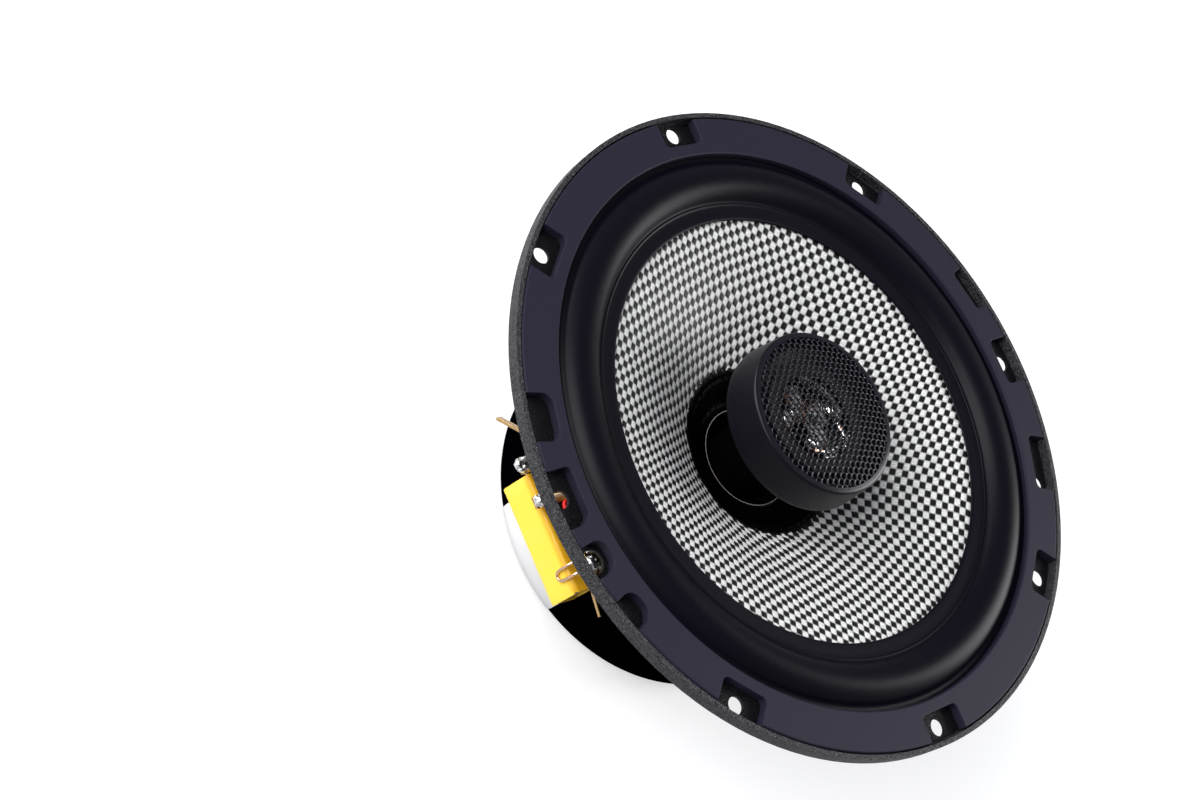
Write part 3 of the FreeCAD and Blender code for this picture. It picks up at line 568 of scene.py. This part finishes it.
def softened(node, width):
    """A copy of a CAD node's shape with its sharp edges rounded, as moulding and stamping leave them."""
    shape = bmesh.new()
    shape.from_mesh(NODES[node].data)
    bmesh.ops.remove_doubles(shape, verts=shape.verts, dist=2e-6)
    bmesh.ops.dissolve_limit(shape, angle_limit=FLAT_ANGLE, verts=shape.verts, edges=shape.edges)
    shape.normal_update()
    sharp = [edge for edge in shape.edges
             if len(edge.link_faces) == 2 and edge.calc_face_angle(0) > SHARP_ANGLE]
    bmesh.ops.bevel(shape, geom=sharp, offset=width * MM, offset_type="OFFSET", segments=2, profile=0.5,
                    affect="EDGES", clamp_overlap=True)
    mesh = bpy.data.meshes.new(node + "_soft")
    shape.to_mesh(mesh)
    shape.free()
    return mesh


def weighted(piece):
    """Shade large faces flat up to their rounded edges."""
    fix = piece.modifiers.new("even_shading", "WEIGHTED_NORMAL")
    fix.keep_sharp = True
    return piece


def radial_blend(piece, node, inner, outer):
    """Stand for a soft node, which in the speaker bends from a moving body at one radius to the frame at a
    wider one: hide the node, bake the piece in place and work out shares between the two radii.
    """
    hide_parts(node)
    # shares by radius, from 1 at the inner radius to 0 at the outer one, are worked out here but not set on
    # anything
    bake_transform(piece)
    places = np.empty(len(piece.data.vertices) * 3)
    piece.data.vertices.foreach_get("co", places)
    places = places.reshape(-1, 3)
    r = np.hypot(places[:, 0], places[:, 1]) / MM
    share = np.clip((outer - r) / (outer - inner), 0, 1)
    share = share * share * (3 - 2 * share)


def route_points(route):
    """Points along one smooth spline whose control points are the route, in metres."""
    curve = bpy.data.curves.new("route", "CURVE")
    curve.dimensions = "3D"
    spline = curve.splines.new("NURBS")
    spline.points.add(len(route) - 1)
    for point, place in zip(spline.points, route):
        point.co = (place[0] * MM, place[1] * MM, place[2] * MM, 1)
    spline.order_u = 3
    spline.use_endpoint_u = True
    spline.resolution_u = 12
    holder = bpy.data.objects.new("route", curve)
    mesh = bpy.data.meshes.new_from_object(holder)
    points = [v.co.copy() for v in mesh.vertices]
    bpy.data.objects.remove(holder)
    bpy.data.meshes.remove(mesh)
    return points


def swept(points, radius, sides=12, offset=None):
    """A round tube along points; offset(i) moves the centre in the tube's own cross-section, in metres."""
    count = len(points)
    tangents = [(points[min(i + 1, count - 1)] - points[max(i - 1, 0)]).normalized() for i in range(count)]
    across = tangents[0].orthogonal().normalized()
    verts, faces = [], []
    for i in range(count):
        across = (across - tangents[i] * across.dot(tangents[i])).normalized()
        other = tangents[i].cross(across)
        centre = points[i]
        if offset:
            x, y = offset(i)
            centre = centre + across * x + other * y
        for k in range(sides):
            angle = TAU * k / sides
            verts.append(centre + (across * math.cos(angle) + other * math.sin(angle)) * radius)
    for i in range(count - 1):
        for k in range(sides):
            n = (k + 1) % sides
            faces.append([i * sides + k, i * sides + n, (i + 1) * sides + n, (i + 1) * sides + k])
    faces.append(list(range(sides))[::-1])
    faces.append([(count - 1) * sides + k for k in range(sides)])
    return verts, faces


def gathered(parts):
    """One mesh from several (points, faces) lists."""
    points, faces = [], []
    for some, more in parts:
        base = len(points)
        points += list(some)
        faces += [[v + base for v in face] for face in more]
    return faceted(points, faces)


# ---------------------------------------------------------------- basket, trim and motor

basket = weighted(placed("basket_stamping", softened("basket", 0.28), "textured_black_coat", 60))
held(basket, "frame_assembly", "textured_black_coat", "basket")

trim = weighted(placed("trim_moulding", softened("trim_ring", 0.22), "trim_plastic", 60))
held(trim, "frame_assembly", "trim_plastic", "trim_ring")

boot = weighted(placed("boot_moulding", softened("magnet_boot", 0.35), "boot_rubber", 60))
held(boot, "frame_assembly", "boot_rubber", "magnet_boot")

for node, paint in (("top_plate", "zinc_steel"), ("magnet_ring", "ferrite"), ("yoke", "zinc_steel"),
                    ("basket_rivets", "zinc_steel"), ("post_nut", "zinc_steel"),
                    ("tweeter_yoke", "zinc_steel"), ("tweeter_magnet", "neodymium_nickel"),
                    ("tweeter_pole_plate", "zinc_steel"), ("terminal_rivets", "gold_brass"),
                    ("tweeter_coil_former", "former_polyimide"), ("tweeter_coil_winding", "copper_wire"),
                    ("voice_coil_winding", "copper_wire")):
    painted(node, paint)

# the label lies on the boot's wall and goes half way round its rear fillet
FILLET_RADIUS, FILLET_LEVEL = 39.5, -58.5
LABEL_INNER, LABEL_OUTER, LABEL_TOP = 7.53, 7.70, -37.1


def boot_wrap(reach, steps=8):
    """Half-section of a sheet at this distance from the middle of the boot's fillet, down to its half way."""
    angles = [math.radians(45 * k / steps) for k in range(steps + 1)]
    return [(FILLET_RADIUS + reach * math.cos(angle), FILLET_LEVEL - reach * math.sin(angle))
            for angle in angles]


label_profile = ([(FILLET_RADIUS + LABEL_INNER, LABEL_TOP)] + boot_wrap(LABEL_INNER) +
                 boot_wrap(LABEL_OUTER)[::-1] + [(FILLET_RADIUS + LABEL_OUTER, LABEL_TOP)])
label = placed("label_sheet", lathe(label_profile, 96, start=254.3, turn=34.4), "label_paper")
held(label, "frame_assembly", "label_paper", "magnet_label")


# ---------------------------------------------------------------- surround, cone, collar and coil

def arc_points(r1, z1, r2, z2, radius, side, steps=20):
    """Points of the arc between two profile points; side +1 bows to the left of the run."""
    a, b = Vector((r1, z1)), Vector((r2, z2))
    chord = b - a
    left = Vector((-chord.y, chord.x)).normalized() * side
    middle = (a + b) / 2 - left * math.sqrt(max(radius**2 - (chord.length / 2)**2, 0))
    first = math.atan2(a.y - middle.y, a.x - middle.x)
    turn = 2 * math.asin(min(chord.length / 2 / radius, 1)) * -side
    return [(middle.x + radius * math.cos(first + turn * k / steps),
             middle.y + radius * math.sin(first + turn * k / steps)) for k in range(steps + 1)]


roll_top = arc_points(69.7, 1.60, 59.2, 1.52, 6.0, -1, 30)
roll_under = arc_points(59.3, 0.75, 69.0, 0.95, 5.2, 1, 24)
surround_profile = (
    [(73.3, 0.92), (73.35, 1.48), (72.9, 1.60), (70.6, 1.60), (70.1, 1.57)] + roll_top[1:-1] +
    [(59.1, 1.50), (58.85, 1.30), (58.72, 1.28), (58.60, 1.42), (58.45, 1.46), (58.30, 1.38), (58.20, 1.20),
     (57.9, 1.14), (56.5, 1.06), (55.0, 0.96), (54.55, 0.90), (54.36, 0.74), (54.32, 0.50), (54.5, 0.42),
     (58.5, 0.42)] + roll_under + [(69.6, 0.92)])
surround = placed("surround_roll", lathe(surround_profile, 240), "surround_rubber", 70)
radial_blend(surround, "surround", 59.6, 68.8)

NECK_RADIUS, NECK_DEPTH = 20.8, 17
CONE_RUN, CONE_BOW, CONE_THICK = 33.5, 1.89, 0.5
CONE_FROM, CONE_TO, CONE_STEPS = 20.75, 54.0, 30


def cone_level(r):
    """Height of the cone's front surface at a radius, in mm."""
    u = (r - NECK_RADIUS) / CONE_RUN
    return -NECK_DEPTH + NECK_DEPTH * u + 4 * CONE_BOW * u * (1 - u)


cone_radii = [CONE_FROM + (CONE_TO - CONE_FROM) * k / CONE_STEPS for k in range(CONE_STEPS + 1)]
cone_front = [(r, cone_level(r)) for r in cone_radii]
cone_back = [(r, z - CONE_THICK) for r, z in reversed(cone_front)]
cone_profile = cone_front + [(56.0, 0.12), (58.1, 0.28), (58.1, -0.30), (56.0, -0.40)] + cone_back
cone = placed("cone_cloth", lathe(cone_profile, 256), "woven_fibre", 60)
held(cone, "cone_assembly", "woven_fibre", "cone")

collar_profile = rounded([
    (12.72, -22.95), (15.5, -22.65, 0.6), (20.7, -17.45), (20.8, -16.92, 0.2), (20.2, -16.78, 0.3),
    (19.3, -17.2, 0.8), (14.7, -21.2, 0.8), (13.1, -21.35, 0.3), (12.72, -21.2)])
collar_mesh = lathe(collar_profile, 160)
for v in collar_mesh.vertices:
    v.co.z += noise.noise(v.co * 450) * 0.12 * MM
collar = placed("collar_moulding", collar_mesh, "collar_paper", 60)
held(collar, "cone_assembly", "collar_paper", "cone_collar")

former_profile = rounded([(12.52, -43.45), (12.69, -43.45), (12.69, -21.06, 0.05), (12.60, -21.02, 0.04),
                          (12.52, -21.06)])
former = placed("former_tube", lathe(former_profile, 192), "former_polyimide", 60)
held(former, "cone_assembly", "former_polyimide", "voice_coil_former")

SPIDER_FROM, SPIDER_WIDTH, SPIDER_LEVEL = 15.0, 26.4, -25.8
SPIDER_WAVES, SPIDER_SWING, SPIDER_THICK, SPIDER_STEPS = 7, 0.82, 0.42, 112

waves = [(SPIDER_FROM + SPIDER_WIDTH * k / SPIDER_STEPS,
          SPIDER_LEVEL + SPIDER_SWING * math.cos(TAU * SPIDER_WAVES * k / SPIDER_STEPS))
         for k in range(SPIDER_STEPS + 1)]
spider_low = [(13.02, SPIDER_LEVEL), (13.8, -25.6)] + waves + [(42.4, -26.12), (46.2, -26.15)]
spider_high = [(r, z + SPIDER_THICK) for r, z in reversed(spider_low)]
spider = placed("spider_disc", lathe(spider_low + spider_high, 192), "spider_cloth", 70)
radial_blend(spider, "spider", 14.2, 41.8)


# ---------------------------------------------------------------- tweeter

post_profile = rounded([
    (3.82, -61.75), (4.9, -61.75, 0.3), (4.95, -35.3), (8.7, -35.15, 0.2), (8.95, -34.9, 0.2),
    (8.95, -4.7, 0.8), (10.3, -3.05, 0.2), (5.05, -3.02), (4.98, -1.55), (3.82, -1.55)])
post = placed("post_turning", lathe(post_profile, 128), "black_anodised", 40)
held(post, "frame_assembly", "black_anodised", "tweeter_post")

cup_profile = rounded([
    (5.05, -2.98), (19.0, -2.98, 1.0), (20.6, -2.2, 1.2), (21.42, -0.6, 1.0), (21.35, 0.8, 1.5),
    (20.72, 8.7, 0.3), (20.5, 9.18, 0.25), (20.15, 9.28, 0.15), (19.75, 9.22, 0.2), (19.36, 8.7, 0.2),
    (19.32, 0.8, 0.6), (17.8, -1.35, 0.8), (5.05, -1.38)], 6)
cup = placed("cup_shell", lathe(cup_profile, 224), "cup_plastic", 50)
held(cup, "frame_assembly", "cup_plastic", "tweeter_cup")

faceplate_profile = rounded([
    (13.15, 3.75), (19.1, 3.75), (19.1, 6.9, 0.3), (17.2, 6.95, 0.4), (14.8, 6.0, 0.5), (14.1, 5.6, 0.2),
    (14.05, 5.12, 0.1), (13.15, 5.1)], 5)
faceplate = placed("faceplate_moulding", lathe(faceplate_profile, 128), "cup_plastic", 40)
held(faceplate, "frame_assembly", "cup_plastic", "tweeter_faceplate")

suspension_profile = (
    [(10.72, 5.86), (10.95, 5.88)] + arc_points(11.05, 5.95, 13.6, 5.95, 1.5, 1, 12) +
    [(13.8, 5.88), (14.25, 5.88), (14.25, 5.98), (13.75, 5.99)] +
    arc_points(13.6, 6.05, 11.0, 6.05, 1.55, -1, 12) + [(10.72, 5.98)])
suspension = placed("suspension_roll", lathe(suspension_profile, 128), "damped_cloth", 60)
radial_blend(suspension, "tweeter_suspension", 11.0, 13.6)

DOME_RADIUS, DOME_EDGE, DOME_CROWN, DOME_STEPS = 10.6, 6.0, 8.22, 24


def dome_level(r):
    """Height of the dome, a spherical cap, at a radius, in mm."""
    rise = DOME_CROWN - DOME_EDGE
    ball = (DOME_RADIUS**2 + rise**2) / (2 * rise)
    return DOME_CROWN - ball + math.sqrt(max(ball**2 - r**2, 0))


dome_radii = [DOME_RADIUS * k / DOME_STEPS for k in range(DOME_STEPS + 1)]
dome_mesh = lathe([(r, dome_level(r)) for r in dome_radii], 128, closed=False)
for v in dome_mesh.vertices:
    # the foil is a little uneven, except where it is glued along its edge
    fade = min(1, (DOME_RADIUS - math.hypot(v.co.x, v.co.y) / MM) / 1.2)
    v.co.z += fade * 0.1 * MM * noise.noise(v.co * 520)
dome = placed("dome_diaphragm", dome_mesh, "dome_foil", 0)
skin = dome.modifiers.new("skin", "SOLIDIFY")
skin.thickness = 0.1 * MM
skin.offset = -1
held(dome, "tweeter_diaphragm", "dome_foil", "tweeter_dome")


def mesh_level(r):
    """Height of the grille's front at a radius: flat in the middle and steeper near its edge, in mm."""
    return 9.15 + 1.62 * (1 - (r / 20.3)**3)


def grille(pitch=1.72, hole=0.735, reach=20.5):
    """A domed sheet punched with close round holes, each in its own six-sided cell."""
    points, faces, seen = [], [], {}

    def at(x, y):
        key = (round(x, 4), round(y, 4))
        if key not in seen:
            seen[key] = len(points)
            points.append((x * MM, y * MM, mesh_level(math.hypot(x, y)) * MM))
        return seen[key]

    corner = pitch / math.sqrt(3)
    tilt = math.radians(14)
    cells = range(-14, 15)
    for row in cells:
        for column in cells:
            x0 = pitch * (column + row * 0.5)
            y0 = pitch * math.sqrt(3) / 2 * row
            if math.hypot(x0, y0) > reach - corner:
                continue
            x = x0 * math.cos(tilt) - y0 * math.sin(tilt)
            y = x0 * math.sin(tilt) + y0 * math.cos(tilt)
            outer, inner = [], []
            for k in range(12):
                angle = math.radians(30 * k + 30) + tilt
                length = corner if k % 2 == 0 else pitch / 2
                outer.append(at(x + length * math.cos(angle), y + length * math.sin(angle)))
                inner.append(at(x + hole * math.cos(angle), y + hole * math.sin(angle)))
            for k in range(12):
                n = (k + 1) % 12
                faces.append([outer[k], outer[n], inner[n], inner[k]])
    return faceted(points, faces)


grille_mesh = placed("grille_mesh", grille(), "black_mesh", 0)
thick = grille_mesh.modifiers.new("sheet", "SOLIDIFY")
thick.thickness = 0.42 * MM
thick.offset = -1
held(grille_mesh, "frame_assembly", "black_mesh", "tweeter_grille")
border_profile = [
    (19.2, mesh_level(19.2) + 0.02), (19.7, mesh_level(19.7) + 0.04), (20.15, 9.29), (20.25, 9.22),
    (20.2, 8.9), (19.2, mesh_level(19.2) - 0.46)]
border = placed("grille_border", lathe(border_profile, 192), "black_mesh", 50)
held(border, "frame_assembly", "black_mesh")


# ---------------------------------------------------------------- terminals

board = weighted(placed("board_blank", softened("terminal_board", 0.12), "phenolic_board", 50))
held(board, "frame_assembly", "phenolic_board", "terminal_board")

BLADE_MIDDLE, BLADE_ROOT, BLADE_BEND = -68.5, 19.8, 4.0
NARROWED_FROM, NARROWED_X, NARROWED_WIDTH = -67.5, 16, 2.4


def bent_blade(node, twist, root_in, tip_in):
    """A terminal whose blade has a narrower root and is bent a little, its outer edge upwards."""
    mesh = softened(node, 0.10)
    for v in mesh.vertices:
        x, y = abs(v.co.x) / MM, v.co.y / MM
        out = min(max((x - BLADE_ROOT) / BLADE_BEND, 0), 1)
        if x > NARROWED_X and y < NARROWED_FROM:
            share = min((NARROWED_FROM - y) / NARROWED_WIDTH, 1)
            v.co.y += (root_in + (tip_in - root_in) * out) * share * MM
        if x > BLADE_ROOT:
            angle = -math.radians(twist) * min(2 * out, 1)
            across = v.co.y - BLADE_MIDDLE * MM
            v.co.y = BLADE_MIDDLE * MM + across * math.cos(angle)
            v.co.z += across * math.sin(angle)
    return mesh


for side, twist, root_in, tip_in in (("positive", 28, 1.6, 0), ("negative", 45, 2.6, 0.9)):
    strip_mesh = bent_blade("terminal_" + side, twist, root_in, tip_in)
    strip = weighted(placed("strip_" + side, strip_mesh, "gold_brass", 50))
    held(strip, "frame_assembly", "gold_brass", "terminal_" + side)

BOARD_FRONT = -14.0


def blob(x, y, size, seed):
    """A lump of solder on the board: a ball pushed about by noise, flat underneath."""
    shape = bmesh.new()
    bmesh.ops.create_icosphere(shape, subdivisions=4, radius=1)
    points = []
    for v in shape.verts:
        d = v.co.normalized()
        coarse = noise.noise(d * 1.7 + Vector((seed * 7.1, seed, 3)))
        fine = noise.noise(d * 4.6 + Vector((seed, 9, seed)))
        p = d * (1 + 0.26 * coarse + 0.10 * fine)
        p.z = max(p.z * 0.75, -0.02)
        points.append((Vector((x, y, BOARD_FRONT)) + p * Vector(size)) * MM)
    faces = [[v.index for v in face.verts] for face in shape.faces]
    shape.free()
    return points, faces


lumps = gathered([
    blob(-12.4, -72.0, (1.9, 2.3, 2.2), 1), blob(-3.6, -71.7, (1.6, 1.5, 1.9), 2),
    blob(13.5, -65.0, (1.9, 2.0, 2.3), 3), blob(9.9, -64.2, (1.4, 1.4, 1.7), 4),
    blob(-15.4, -64.2, (1.4, 1.4, 1.8), 5)])
solder = placed("solder_lumps", lumps, "solder", 0)
held(solder, "frame_assembly", "solder", "solder_joints")


CAP_X, CAP_Y, CAP_Z, CAP_CORNER = (-10.5, 18.3), (-70.3, -62.3), (-26.8, -16.3), 1.1


def rounded_outline(steps=10):
    """The capacitor's cross-section: a rectangle with round corners, as (y, z) points."""
    (y0, y1), (z0, z1) = CAP_Y, CAP_Z
    inner = CAP_CORNER
    outline = []
    for y, z, first in ((y1 - inner, z1 - inner, 0), (y0 + inner, z1 - inner, 90),
                        (y0 + inner, z0 + inner, 180), (y1 - inner, z0 + inner, 270)):
        for k in range(steps + 1):
            angle = math.radians(first + 90 * k / steps)
            outline.append((y + inner * math.cos(angle), z + inner * math.sin(angle)))
    return outline


def capacitor_tape(bands=12):
    """The capacitor's wrapping, slightly banded, with ragged turned-in ends."""
    x0, x1 = CAP_X
    outline = rounded_outline()
    size = len(outline)
    middle_y, middle_z = sum(CAP_Y) / 2, sum(CAP_Z) / 2
    points = []

    def loop(x, inset, ragged=0.0):
        for y, z in outline:
            dy, dz = middle_y - y, middle_z - z
            length = math.hypot(dy, dz)
            wobble = ragged * noise.noise(Vector((y * 1.1, z * 1.1, x)))
            points.append(((x + wobble) * MM, (y + dy / length * inset) * MM, (z + dz / length * inset) * MM))

    for depth, inset in ((0.9, 0.55), (0.05, 0.35), (0.02, 0.12)):
        loop(x0 + depth, inset, 0.1)
    for k in range(bands + 1):
        loop(x0 + 0.15 + (x1 - x0 - 0.5) * k / bands, 0.03 * math.sin(k * 2.1) + 0.05)
    for depth, inset, ragged in ((0.12, 0.10, 0.35), (0.10, 0.35, 0.35), (0.9, 0.55, 0.1)):
        loop(x1 - depth, inset, ragged)
    faces = []
    for i in range(len(points) // size - 1):
        for k in range(size):
            n = (k + 1) % size
            faces.append([i * size + k, (i + 1) * size + k, (i + 1) * size + n, i * size + n])
    return faceted(points, faces)


def epoxy_end(x, side, count=12, margin=0.35):
    """The uneven epoxy that fills one end of the wrapping."""
    (y0, y1), (z0, z1) = CAP_Y, CAP_Z
    points, faces = [], []
    for i in range(count + 1):
        for j in range(count + 1):
            y = y0 + margin + (y1 - y0 - 2 * margin) * i / count
            z = z0 + margin + (z1 - z0 - 2 * margin) * j / count
            rise = side * 0.30 * noise.noise(Vector((y * 0.9, z * 0.9, side * 4)))
            points.append(((x + rise) * MM, y * MM, z * MM))
    for i in range(count):
        for j in range(count):
            first = i * (count + 1) + j
            faces.append([first, first + count + 1, first + count + 2, first + 1])
    return points, faces


tape = placed("capacitor_wrap", capacitor_tape(), "capacitor_yellow", 50)
wrap = tape.modifiers.new("layers", "SOLIDIFY")
wrap.thickness = 0.12 * MM
wrap.offset = -1
held(tape, "frame_assembly", "capacitor_yellow", "capacitor")
end_mesh = gathered([epoxy_end(CAP_X[0] + 0.55, -1), epoxy_end(CAP_X[1] - 0.55, 1)])
ends = placed("capacitor_ends", end_mesh, "capacitor_epoxy", 0)
held(ends, "frame_assembly", "capacitor_yellow")

LEAD_RADIUS, WIRE_RADIUS = 0.35, 0.5
LEADS = {
    "capacitor_lead_left": [
        (-10.5, -66, -21.5), (-15, -66, -21.3), (-15.3, -67.6, -13.2), (-12.6, -71, -13.1)],
    "capacitor_lead_right": [
        (13.2, -64.9, -13.4), (14.4, -68, -13.1), (14.6, -70.85, -14.6), (14.6, -70.85, -19.8),
        (12.1, -70.85, -19.8), (12.1, -70.85, -14.6), (11.6, -67.6, -13.3)]}
for node, route in LEADS.items():
    wire_mesh = faceted(*swept(route_points(route), LEAD_RADIUS * MM))
    wire = placed(node + "_wire", wire_mesh, "tinned_copper", 60)
    held(wire, "frame_assembly", "tinned_copper", node)


def down_the_rib(x):
    """The two tweeter wires' way down the rib, past the magnet inside the boot and up the post."""
    return [(x, -60.2, -13.2), (x, -59.4, -20), (x, -55, -27), (x, -46.4, -32.6), (x, -45.1, -36.5),
            (x, -45.1, -45), (x, -45.2, -58), (x, -42.1, -63.2), (x, -38.5, -64.25), (x, -24, -64.3),
            (x, -7, -64.3), (x, -1.6, -62.6), (x, -1, -56), (x, -1.1, -28), (x, -0.9, -0.4)]


RED_START = [(9.4, -64.4, -13.5), (5, -66.2, -12.7), (-2.2, -67.4, -12.2), (-0.2, -63.2, -12.6)]
TAN_START = [(-3.4, -70.8, -13.4), (-3.6, -68.6, -12.4), (-3, -65, -12.3)]
for colour, route in (("red", RED_START + down_the_rib(1.1)), ("tan", TAN_START + down_the_rib(-1.1))):
    wire_mesh = faceted(*swept(route_points(route), WIRE_RADIUS * MM))
    wire = placed("sleeve_" + colour, wire_mesh, "wire_" + colour, 60)
    held(wire, "frame_assembly", "wire_" + colour, "tweeter_wire_" + colour)

TINSEL = [(15.4, -64, -13.1), (14.6, -59, -12.6), (13.4, -54, -14.6), (11.6, -47.5, -18.6), (9.4, -40, -19.6),
          (8, -33.5, -17.4), (7.1, -28.2, -12.75)]


def braid(route, strands=6, radius=0.36, strand_radius=0.20, core_radius=0.24, lay=2.6):
    """Strands laid round the route's spline, with one through the middle."""
    points = route_points(route)
    fine = []
    for first, last in zip(points, points[1:]):
        fine += [first.lerp(last, k / 3) for k in range(3)]
    fine.append(points[-1])
    along = [0.0]
    for first, last in zip(fine, fine[1:]):
        along.append(along[-1] + (last - first).length / MM)

    def strand_centre(i, k):
        angle = TAU * (along[i] / lay + k / strands)
        return radius * MM * math.cos(angle), radius * MM * math.sin(angle)

    parts = [swept(fine, core_radius * MM, 6)]
    for k in range(strands):
        parts.append(swept(fine, strand_radius * MM, 6, lambda i, k=k: strand_centre(i, k)))
    return gathered(parts)


for side, mirror in (("negative", 1), ("positive", -1)):
    route = [(x * mirror, y, z) for x, y, z in TINSEL]
    lead = placed("braid_" + side, braid(route), "braided_lead", 60)
    radial_blend(lead, "tinsel_lead_" + side, 30.0, 60.0)


# ---------------------------------------------------------------- floor, light and finish

# the floor lies just under the back of the boot, which is the lowest part
FLOOR_REACH, FLOOR_LEVEL = 4, CAD_BOX[0][2] - 0.3 * MM
corners = [(x * FLOOR_REACH, y * FLOOR_REACH, FLOOR_LEVEL) for x, y in ((-1, -1), (1, -1), (1, 1), (-1, 1))]
floor = bpy.data.objects.new("studio_floor", faceted(corners, [[0, 1, 2, 3]]))
bpy.context.scene.collection.objects.link(floor)


def seen_white(tree, seen, otherwise, target):
    """The camera sees one shader, and every other ray meets another."""
    path = tree.nodes.new("ShaderNodeLightPath")
    choice = tree.nodes.new("ShaderNodeMixShader")
    tree.links.new(path.outputs["Is Camera Ray"], choice.inputs["Fac"])
    tree.links.new(otherwise, choice.inputs[1])
    tree.links.new(seen, choice.inputs[2])
    tree.links.new(choice.outputs[0], target)


floor_paint = Paint("studio_floor", (0.62, 0.62, 0.63), 0.8, specular=0.1)
floor_paint.tint(floor_paint.spread(floor_paint.noise(2.0, 2), 0.3, 0.8), (0.60, 0.60, 0.61))
glow = floor_paint.tree.nodes.new("ShaderNodeEmission")
glow.inputs["Strength"].default_value = 0.55
both = floor_paint.tree.nodes.new("ShaderNodeAddShader")
floor_paint.link(floor_paint.shader.outputs[0], both.inputs[0])
floor_paint.link(glow.outputs[0], both.inputs[1])
seen_white(floor_paint.tree, both.outputs[0], floor_paint.shader.outputs[0],
           floor_paint.tree.nodes["Material Output"].inputs["Surface"])
floor.data.materials.append(floor_paint.material)

world = bpy.data.worlds.new("studio")
bpy.context.scene.world = world
world.use_nodes = True
room = world.node_tree.nodes["Background"]
room.inputs["Color"].default_value = (0.9, 0.93, 1.0, 1)
room.inputs["Strength"].default_value = 0.30
backdrop = world.node_tree.nodes.new("ShaderNodeBackground")
backdrop.inputs["Color"].default_value = (1, 1, 1, 1)
backdrop.inputs["Strength"].default_value = 1.0
seen_white(world.node_tree, backdrop.outputs[0], room.outputs[0],
           world.node_tree.nodes["World Output"].inputs["Surface"])


def softbox(name, direction, distance, width, height, power):
    """A large area light that faces the speaker, placed along the camera's axes."""
    light = bpy.data.lights.new(name, "AREA")
    light.shape = "RECTANGLE"
    light.size, light.size_y = width, height
    light.energy = power
    holder = bpy.data.objects.new(name, light)
    bpy.context.scene.collection.objects.link(holder)
    place = view_space(*Vector(direction).normalized() * distance)
    holder.matrix_world = Matrix.Translation(place) @ place.to_track_quat("Z", "Y").to_matrix().to_4x4()


softbox("box_top_left", (-0.75, 0.75, 0.25), 0.9, 0.8, 0.5, 8)
softbox("box_right", (0.97, 0.02, -0.22), 0.9, 0.35, 0.7, 5)
softbox("box_front", (-0.35, 0.50, 1.0), 1.2, 0.9, 0.9, 17)

bpy.context.scene.view_settings.view_transform = "Standard"
bpy.context.scene.view_settings.look = "None"
